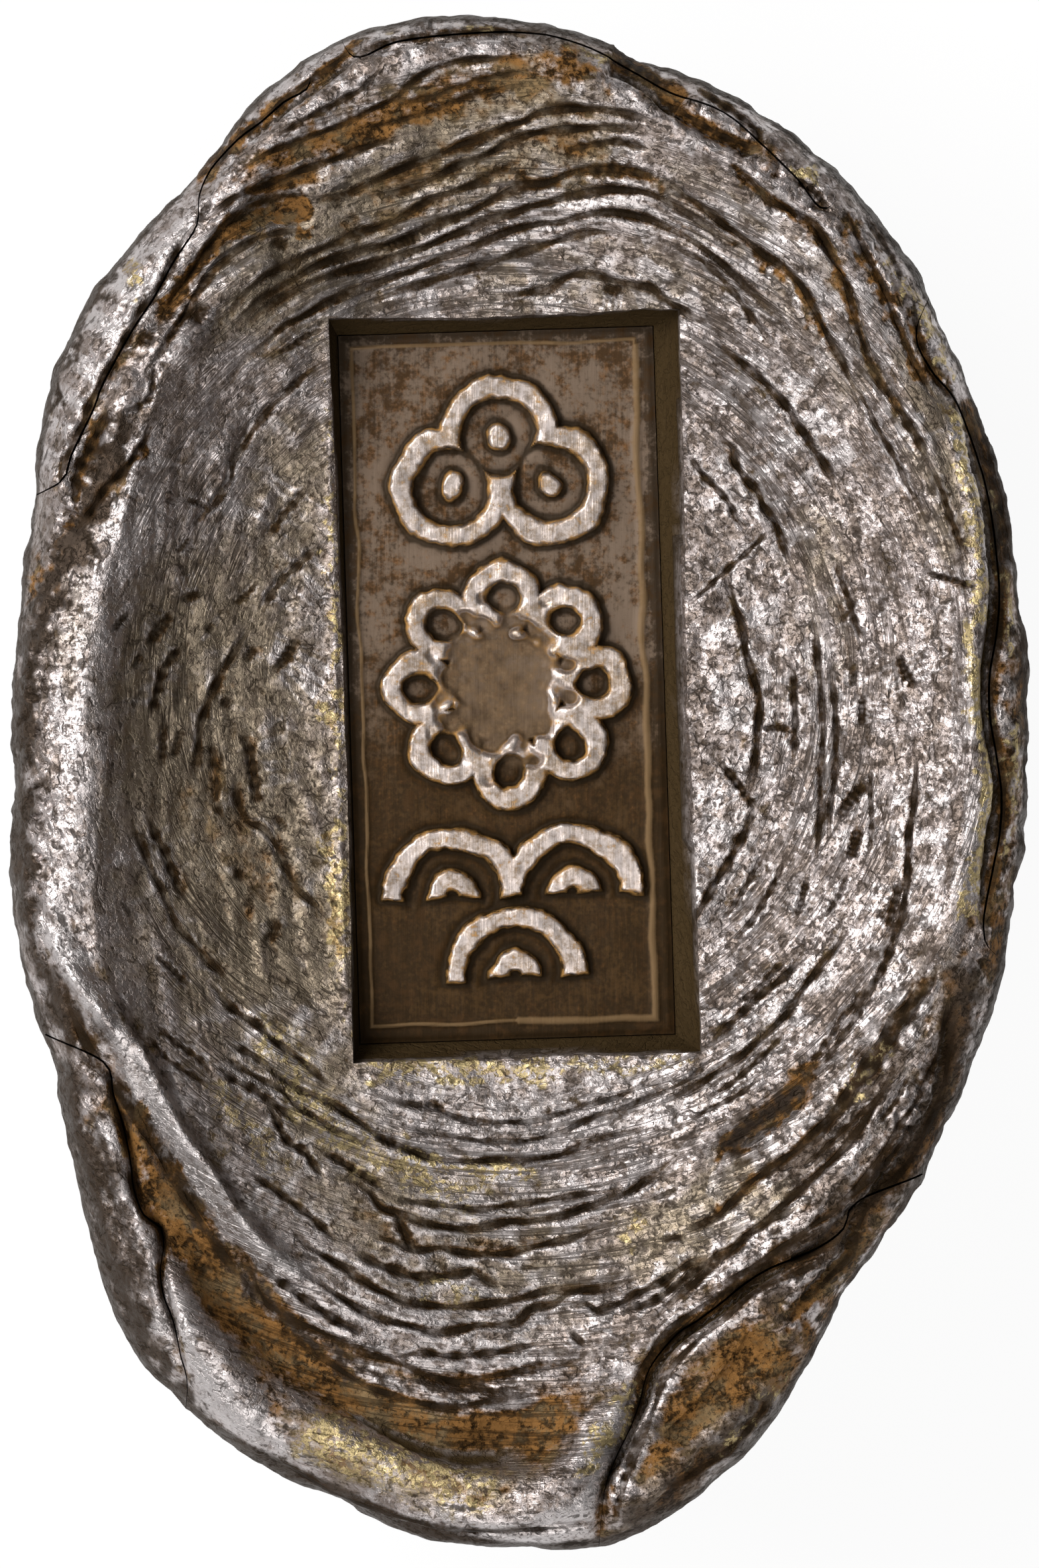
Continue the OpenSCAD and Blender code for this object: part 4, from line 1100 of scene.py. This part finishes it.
def silverSkin(name, look, seed):
    s = Shader(name)
    place = s.scaled(s.node("ShaderNodeTexCoord", out="Object"), 1 / mm)
    place = s.vector("ADD", place, (seed, seed * 2, 0))
    flow = s.field("flow", "Vector")
    drawn = s.vector("MULTIPLY", flow, (0.16, 0.16, 1.0))
    pit, brown, gold, film, soot = [s.field(n) for n in ("pit", "brown", "gold", "film", "soot")]
    under, wall, cavityDirtAndShade, ridgeWearAndHighlight, lined = [s.field(n) for n in ("under", "wall", "cavityDirtAndShade", "ridgeWearAndHighlight", "lined")]
    polishAndHighlight = s.field("polishAndHighlight")
    mottle = s.noise(place, 0.55, 4)
    patch = s.noise(place, 1.9, 5, 0.65)
    streak = s.noise(flow, 2.3, 5, 0.65)
    speck = s.noise(place, 5.5, 3, 0.65)
    bent = s.vector("ADD", place, s.scaled(s.noiseColour(place, 2.2), 0.5))
    bentFlow = s.vector("ADD", flow, s.scaled(s.noiseColour(place, 2.2), 0.5))
    coarse = Flakes(s, bentFlow, look["flakeSize"], look["tilt"])
    fine = Flakes(s, bent, look["fineSize"], look["fineTilt"])

    # traced flow lines, drawn sharp from how far away they are
    wide = s.field("lineWide")
    away = s.node("ShaderNodeMath", dict(operation="ARCTAN2"), {0: s.field("lineSin"), 1: s.field("lineCos")})
    away = (away.size() * (lineReach / math.pi) + (speck - 0.5) * 0.06 + (patch - 0.5) * 0.04
            + (s.noise(place, 10.0, 2) - 0.5) * 0.05)
    strong = s.field("lineDark")
    # each line is dark patina in its groove and painted shade of its step; the halo beside it is brown patina
    # and painted shade
    crisp = (1 - s.ease(away, wide * 0.7, wide * 1.1)) * strong
    halo = (1 - s.ease(away, wide, wide * 3.0)) * strong
    # a painted highlight on the silver just beyond each line
    paintedHighlightLip = s.ease(away, wide * 1.2, wide * 1.8) * (1 - s.ease(away, wide * 2.4, wide * 4.5)) * strong
    polishAndHighlight = s.most(polishAndHighlight, paintedHighlightLip * 0.8)
    # finer lines between them, and pits drawn out along the flow
    veins = 0.0
    for scale, weight in ((1.3, 1.0), (2.9, 0.85)):
        vein = (s.noise(drawn, scale, 3.5, 0.55) - 0.5).size()
        veins = s.most(veins, (1 - s.ease(vein, 0.003, look["veins"])) * weight)
    veins = veins * s.span(lined + patch * 1.2 + speck * 0.6 - 0.95, 0.1, 0.6)
    ragged = s.vector("ADD", s.vector("MULTIPLY", flow, (0.8, 0.8, 1.2)),
                      s.scaled(s.noiseColour(place, 4.0), 0.35))
    dots = s.most(s.spots(ragged, 1.5, 0.3, 0.1, 0.24), s.spots(ragged, 3.2, 0.4, 0.12, 0.3) * 0.9)
    dots = s.most(dots, pit)
    # the creases between the facets are darkened with painted shade
    creases = s.most(coarse.crease * s.ease(patch, 0.46, 0.6) * 0.8,
                     fine.crease * s.ease(speck, 0.48, 0.6) * 0.5)
    grit = s.ease(speck * 0.8 + patch * 0.5 + streak * 0.3, 0.84, 0.98) * 0.6

    # where each kind of patina lies, and the painted shade among the soot
    stain = (s.noise(flow, 4.2, 6, 0.7) + speck * 0.35 + patch * 0.5 + mottle * 0.4 + streak * 0.3
             - polishAndHighlight * 0.15)
    stain = s.ease(stain, 1.25, 1.4)
    worn = s.ease(patch * 0.5 + streak * 0.5 + speck * 0.4 + coarse.random * 0.3 + fine.random * 0.3
                  - polishAndHighlight * 0.4, 0.66, 1.2)
    filmMask = s.ease(film * 1.15 + mottle * 0.45 + streak * 0.5 - ridgeWearAndHighlight * 0.35 - paintedHighlightLip * 0.3
                      - fine.random * 0.25 - 0.3, 0.1, 0.95)
    sootAndShadeMask = s.ease(soot * 1.1 + streak * 0.6 + patch * 0.5 + speck * 0.3 - 0.8, 0.05, 0.75)
    rust = (brown + cavityDirtAndShade * 0.3 + (patch - 0.5) * 1.3 + (speck - 0.5) * 0.7 + (streak - 0.5) * 0.8
            - ridgeWearAndHighlight * 0.3)
    brownMask = s.ease(rust, 0.18, 0.78)
    flecks = s.ease(speck * 1.2 + fine.random * 0.25 + patch * 0.8 + ridgeWearAndHighlight * 0.1, 1.08, 1.3)
    goldMask = s.ease(gold, 0.15, 0.6) * flecks
    goldTint = s.ease(gold + (patch - 0.5) * 1.5 + (speck - 0.5) * 1.5 + (streak - 0.5) * 0.8,
                      0.42, 0.8) * 0.9
    darkMask = s.most(s.most(crisp, veins * 0.7),
                      s.most(dots * 0.85, s.ease(cavityDirtAndShade + streak * 0.5, 1.0, 1.6) * 0.5))
    darkMask = s.most(darkMask, s.most(creases, grit))
    # colours from the bare silver up
    # the polished colour is rubbed silver and painted highlight
    colour = s.mix(worn, s.mix(polishAndHighlight, look["clean"], look["polishedAndHighlight"]), look["worn"])
    colour = s.mix(filmMask, colour, look["film"])
    colour = s.mix(under * 0.9, colour, look["flank"])
    rusty = s.mix(s.ease(patch * 0.8 + speck * 0.5, 0.58, 0.76), look["brown"], look["deepBrown"])
    rusty = s.mix(s.ease(mottle * 0.5 + streak * 0.4 + patch * 0.3, 0.58, 0.72) * 0.8, rusty, look["olive"])
    colour = s.mix(stain * 0.55, colour, look["stain"])
    colour = s.mix(brownMask, colour, rusty)
    colour = s.mix(sootAndShadeMask, colour, look["soot"])
    colour = s.mix(halo * s.ease(patch + speck * 0.5, 0.5, 0.8), colour, look["deepBrown"])
    colour = s.tint(goldTint, colour, look["gold"])
    colour = s.mix(goldMask, colour, look["goldBright"])
    colour = s.mix(darkMask, colour, look["dark"])
    colour = s.mix(wall, colour, look["wall"])
    cover = s.most(s.most(darkMask, wall), s.most(brownMask, stain * 0.5))
    metallic = 1 - cover * 0.75 - sootAndShadeMask * 0.2
    rough = (0.37 + polishAndHighlight * 0.05 + filmMask * 0.08 + cover * 0.26 + worn * 0.1 + under * 0.1
             + sootAndShadeMask * 0.1)
    height = coarse.height + fine.height + streak * 0.09 + speck * 0.04 - darkMask * look["lineBump"]
    return s.close(colour, metallic, rough, height, mm, look["specular"])


castSilver = silverSkin("castSilver", silverLook, 0.0)
lapLook = dict(silverLook, film=(0.22, 0.17, 0.127))
lappedSilver = silverSkin("lappedSilver", lapLook, 7.0)

for piece, node, slot, material in (
        [(body, "cast_body", "cast_silver", castSilver)]
        + [(p, n, "lapped_silver", lappedSilver) for n, p in lapPieces.items()]):
    piece.data.materials.clear()
    piece.data.materials.append(material)
    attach(piece, "root")
    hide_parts(node)

# the struck metal in the pocket: a block whose top carries the ornament in relief
panel = dict(step=0.05, gap=0.03, relief=0.45, stroke=0.7, rosette=4.05, boss=1.9, cloud=1.95, wave=2.3,
             ornamentGap=0.5, worn=2.5, tilt=(-0.1, 0.06))


def ringLine(x, y, cx, cy, r, stroke):
    # distance outside a drawn circle's line, negative on it
    return np.abs(np.hypot(x - cx, y - cy) - (r - stroke / 2)) - stroke / 2


def disc(x, y, cx, cy, r):
    return np.hypot(x - cx, y - cy) - r


def ornament(x, y):
    st = panel["stroke"]
    parts = []
    cloudY = panel["rosette"] + panel["ornamentGap"] + panel["cloud"]
    step = panel["cloud"] - st / 2
    lobes = [(-step, cloudY), (step, cloudY), (0, cloudY + step)]
    inside = [disc(x, y, cx, cy, panel["cloud"] - st) for cx, cy in lobes]
    cloud = np.minimum.reduce([disc(x, y, cx, cy, panel["cloud"]) for cx, cy in lobes])
    cloud = np.maximum(cloud, -np.minimum.reduce(inside))
    parts += [cloud] + [disc(x, y, cx, cy, st * 0.6) for cx, cy in lobes]
    petal = panel["rosette"] * 0.3
    for k in range(8):
        a = math.radians(k * 45)
        r = panel["rosette"] - petal
        parts.append(ringLine(x, y, r * math.cos(a), r * math.sin(a), petal, st))
    parts.append(disc(x, y, 0, 0, panel["boss"]))
    waveY = -(panel["rosette"] + panel["ornamentGap"] + panel["wave"])
    wStep = panel["wave"] - st / 2
    for cx, cy in ((-wStep, waveY), (wStep, waveY), (0, waveY - panel["wave"] - st / 2)):
        for r in (panel["wave"], panel["wave"] - 2 * st):
            parts.append(np.maximum(ringLine(x, y, cx, cy, r, st), cy - y))
    return np.minimum.reduce(parts)


def struckPanel():
    halfW, halfL = pocket["width"] / 2 - panel["gap"], pocket["length"] / 2 - panel["gap"]
    nx, ny = int(2 * halfW / panel["step"]), int(2 * halfL / panel["step"])
    x, y = np.meshgrid(np.linspace(-halfW, halfW, nx), np.linspace(-halfL, halfL, ny))
    steps = (2 * halfL / ny, 2 * halfW / nx)
    waver = [bandNoise(x.shape, (2.4, 2.4), steps) * 0.05 for _ in range(2)]
    away = ornament(x + waver[0], y + waver[1]) + bandNoise(x.shape, (0.5, 0.5), steps) * 0.014
    raised = 1 - smoothStep(away, -0.08, 0.06)
    blow = bell(np.hypot(x * 1.1 + 0.2, y * 0.95), panel["worn"])
    worn = smoothStep(blow + 0.1 * bandNoise(x.shape, (1.1, 1.1), steps), 0.3, 0.7)
    # a frame line inside the walls, broader beside the right one
    left, right, low, high = x + halfW, halfW - x, y + halfL, halfL - y
    straight = bandNoise(x.shape, (3.0, 3.0), steps) * 0.03
    inset = np.minimum.reduce([left - 0.4, high - 0.4, right - 0.62, low - 0.55]) + straight
    frameLine = bell(inset, np.where(right < np.minimum(left, high), 0.14, 0.07))
    wall = np.minimum.reduce([left, right, low, high])
    lumpy = bandNoise(x.shape, (0.7, 0.7), steps)
    height = panel["relief"] * raised * (1 - 0.75 * worn) * (1 + 0.015 * lumpy)
    height = height + 0.09 * frameLine * (1 - raised)
    height -= 0.04 * worn + 0.1 * bell(wall, 0.14) + 0.07 * bell(away - 0.14, 0.14) * (1 - worn)
    height += (0.004 * bandNoise(x.shape, (0.8, 0.8), steps)
               + 0.02 * bandNoise(x.shape, (3.2, 3.2), steps))
    height += panel["tilt"][0] * x / halfW + panel["tilt"][1] * y / halfL
    top = np.column_stack([panelPlace(x.ravel(), y.ravel()), pocket["floorHeight"] + height.ravel()])
    base = np.column_stack([panelPlace(x.ravel(), y.ravel()), np.full(x.size, pocket["socketHeight"])])
    index = np.arange(nx * ny).reshape(ny, nx)
    quads = np.stack([index[:-1, :-1], index[:-1, 1:], index[1:, 1:], index[1:, :-1]], -1).reshape(-1, 4)
    loop = np.concatenate([index[0, :-1], index[:-1, -1], index[-1, :0:-1], index[:0:-1, 0]])
    lower = nx * ny + np.arange(len(loop))
    nextOne = np.roll(np.arange(len(loop)), -1)
    sides = np.column_stack([loop[nextOne], loop, lower, lower[nextOne]])
    faces = quads.tolist() + sides.tolist() + [lower[::-1].tolist()]
    piece = newPiece("struckPanel", np.vstack([top, base[loop]]), faces)
    for name, field in (("away", np.clip(away, -1, 1)), ("worn", worn), ("frameLine", frameLine),
                        ("corner", bell(wall, 0.4)), ("lower", smoothStep(-y, -6, 9))):
        setField(piece, name, np.concatenate([field.ravel(), field.ravel()[loop]]))
    piece.data.polygons.foreach_set("use_smooth", np.ones(len(piece.data.polygons), bool))
    piece.data.set_sharp_from_angle(angle=math.radians(60))
    return piece


tarnishLook = dict(
    floor=(0.13, 0.093, 0.066), low=(0.049, 0.026, 0.009), deep=(0.017, 0.01, 0.004),
    high=(0.62, 0.54, 0.505), dull=(0.27, 0.205, 0.15), edge=(0.37, 0.2, 0.062),
    worn=(0.14, 0.092, 0.053), frame=(0.15, 0.094, 0.045),
    rust=(0.15, 0.069, 0.022), flakeSize=0.55, tilt=0.03, specular=0.07,
)


def tarnishSkin(name, look):
    s = Shader(name)
    place = s.scaled(s.node("ShaderNodeTexCoord", out="Object"), 1 / mm)
    away, worn, frameLine, corner, lower = [
        s.field(n) for n in ("away", "worn", "frameLine", "corner", "lower")]
    mottle = s.noise(place, 0.7, 5, 0.6)
    patch = s.noise(place, 2.4, 5, 0.65)
    speck = s.noise(place, 7.0, 3, 0.6)
    brushed = s.noise(s.vector("MULTIPLY", place, (9.0, 0.5, 1.0)), 1.0, 3, 0.6)
    scuffed = s.noise(s.vector("MULTIPLY", place, (1.2, 9.0, 1.0)), 1.0, 3, 0.6)
    sharp = away + (speck - 0.5) * 0.06 + (patch - 0.5) * 0.07
    colour = s.mix(s.ease(lower + mottle * 0.9 + patch * 0.3 - 0.55, 0.05, 0.75),
                   look["floor"], look["low"])
    colour = s.mix(s.ease(patch * 0.8 + mottle * 0.5, 0.62, 0.8) * 0.8, colour, look["rust"])
    deepMask = s.ease(mottle * 0.8 + patch * 0.6 + speck * 0.5 + corner * 0.25 + lower * 0.15
                      - brushed * 0.3, 0.72, 1.0)
    colour = s.mix(deepMask * 0.8, colour, look["deep"])
    colour = s.mix(s.ease(frameLine + patch * 0.5 - 0.3, 0.2, 0.8) * 0.8, colour, look["frame"])
    colour = s.mix(worn * s.span(patch + speck * 0.4, 0.55, 0.9), colour, look["worn"])
    # a dark ring round the foot of each stroke: dirt and painted shade
    outline = (1 - s.ease((away - 0.1).size(), 0.05, 0.17)) * (1 - worn * 0.7)
    colour = s.mix(outline * 0.85, colour, look["deep"])
    rubbed = (1 - s.ease(sharp, -0.14, -0.02)) * (1 - s.ease(worn + patch * 0.5, 0.5, 0.9))
    rubbed = rubbed * (1 - s.ease(patch * 0.7 + speck * 0.5, 0.68, 0.8) * 0.7)
    # the strokes' edges are orange-brown: tarnish and a painted reflection of the brown pocket floor
    edge = (1 - s.ease(sharp, -0.03, 0.05)) * (1 - s.ease(worn + patch * 0.4, 0.5, 1.0))
    colour = s.mix(edge * s.ease(patch, 0.4, 0.6), colour, look["edge"])
    bright = s.mix(s.ease(mottle * 0.4 + patch * 0.6 + speck * 0.4, 0.56, 0.84), look["high"], look["dull"])
    colour = s.mix(rubbed, colour, bright)
    metallic = 0.06 + rubbed * 0.9
    rough = 0.52 - rubbed * 0.12 + deepMask * 0.12
    flakes = Flakes(s, place, look["flakeSize"], look["tilt"])
    height = flakes.height * rubbed + brushed * 0.016 + scuffed * 0.006 + patch * 0.012
    return s.close(colour, metallic, rough, height, mm, look["specular"])


struck = struckPanel()
struck.data.materials.append(tarnishSkin("struckTarnish", tarnishLook))
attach(struck, "root")
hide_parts("struck_panel")
print("panel:", len(struck.data.vertices), "points")

# stage, light and camera: metres and watts, but the floor's gap in mm
stage = dict(floorSize=3.0, floorGap=0.1, floorColour=(0.86, 0.86, 0.86, 1), seenWhite=0.93, worldLight=0.065,
             cameraAway=0.5, sensor=36.0, aimHeight=0.016)
studio = dict(
    key=dict(at=(-0.29, 0.14, 0.34), size=(0.34, 0.3), watts=3.25, colour=(1.0, 0.985, 0.97)),
    fill=dict(at=(-0.02, -0.36, 0.34), size=(0.4, 0.4), watts=1.5, colour=(1.0, 0.98, 0.96)),
    top=dict(at=(0.05, 0.10, 0.62), size=(0.6, 0.6), watts=0.72, colour=(1.0, 1.0, 1.0)),
)


def floorPlate():
    half, low = stage["floorSize"] / 2 / mm, -stage["floorGap"]
    corner = [(-half, -half, low), (half, -half, low), (half, half, low), (-half, half, low)]
    piece = newPiece("floorPlate", corner, [[0, 1, 2, 3]])
    s = Shader("floorWhite")
    rays = s.node("ShaderNodeLightPath", out="Is Camera Ray")
    path = rays.socket.node.outputs
    seen = s.most(s.most(rays, Wire(s, path["Is Glossy Ray"])), Wire(s, path["Is Transmission Ray"]))
    matt = s.node("ShaderNodeBsdfDiffuse", None, {"Color": stage["floorColour"]})
    white = s.node("ShaderNodeEmission", None, {"Color": (1, 1, 1, 1), "Strength": 1.0})
    surface = s.node("ShaderNodeMixShader", None, {0: seen * stage["seenWhite"], 1: matt, 2: white})
    # seen from below the floor is clear, so that the base shows
    behind = s.node("ShaderNodeNewGeometry", out="Backfacing")
    clear = s.node("ShaderNodeBsdfTransparent", None, {"Color": (1, 1, 1, 1)})
    surface = s.node("ShaderNodeMixShader", None, {0: behind, 1: surface, 2: clear})
    s.node("ShaderNodeOutputMaterial", None, {"Surface": surface})
    piece.data.materials.append(s.material)


def lampAt(name, at, size, watts, colour):
    lamp = bpy.data.lights.new(name, "AREA")
    lamp.shape = "RECTANGLE"
    lamp.size, lamp.size_y = size
    lamp.energy = watts
    lamp.color = colour
    made = bpy.data.objects.new(name, lamp)
    made.location = at
    aim = np.array([0, 0, stage["aimHeight"]]) - np.array(at)
    made.rotation_euler = (math.acos(-aim[2] / np.linalg.norm(aim)), 0, math.atan2(-aim[0], aim[1]))
    bpy.context.scene.collection.objects.link(made)


def cameraAbove():
    # straight above; the photograph's frame lies at the height of the ingot's edge
    away = stage["cameraAway"]
    half = photo["height"] / pxPerMm / 2 * mm
    lens = bpy.data.cameras.new("camera")
    lens.sensor_fit = "VERTICAL"
    lens.sensor_height = stage["sensor"]
    lens.lens = stage["sensor"] / 2 * away / half
    lens.clip_start, lens.clip_end = 0.01, 20
    made = bpy.data.objects.new("camera", lens)
    middle = onIngot("%f,%f" % (photo["width"] / 2, photo["height"] / 2))[0] * mm
    made.location = (middle[0], middle[1], edgeHeight * mm + away)
    bpy.context.scene.collection.objects.link(made)
    bpy.context.scene.camera = made


def worldLight():
    world = bpy.data.worlds.new("studio")
    world.use_nodes = True
    backdrop = world.node_tree.nodes["Background"]
    backdrop.inputs["Color"].default_value = (1, 1, 1, 1)
    backdrop.inputs["Strength"].default_value = stage["worldLight"]
    bpy.context.scene.world = world


floorPlate()
for name, lamp in studio.items():
    lampAt(name, **lamp)
cameraAbove()
worldLight()
bpy.context.scene.view_settings.view_transform = "Standard"
print("stage set")
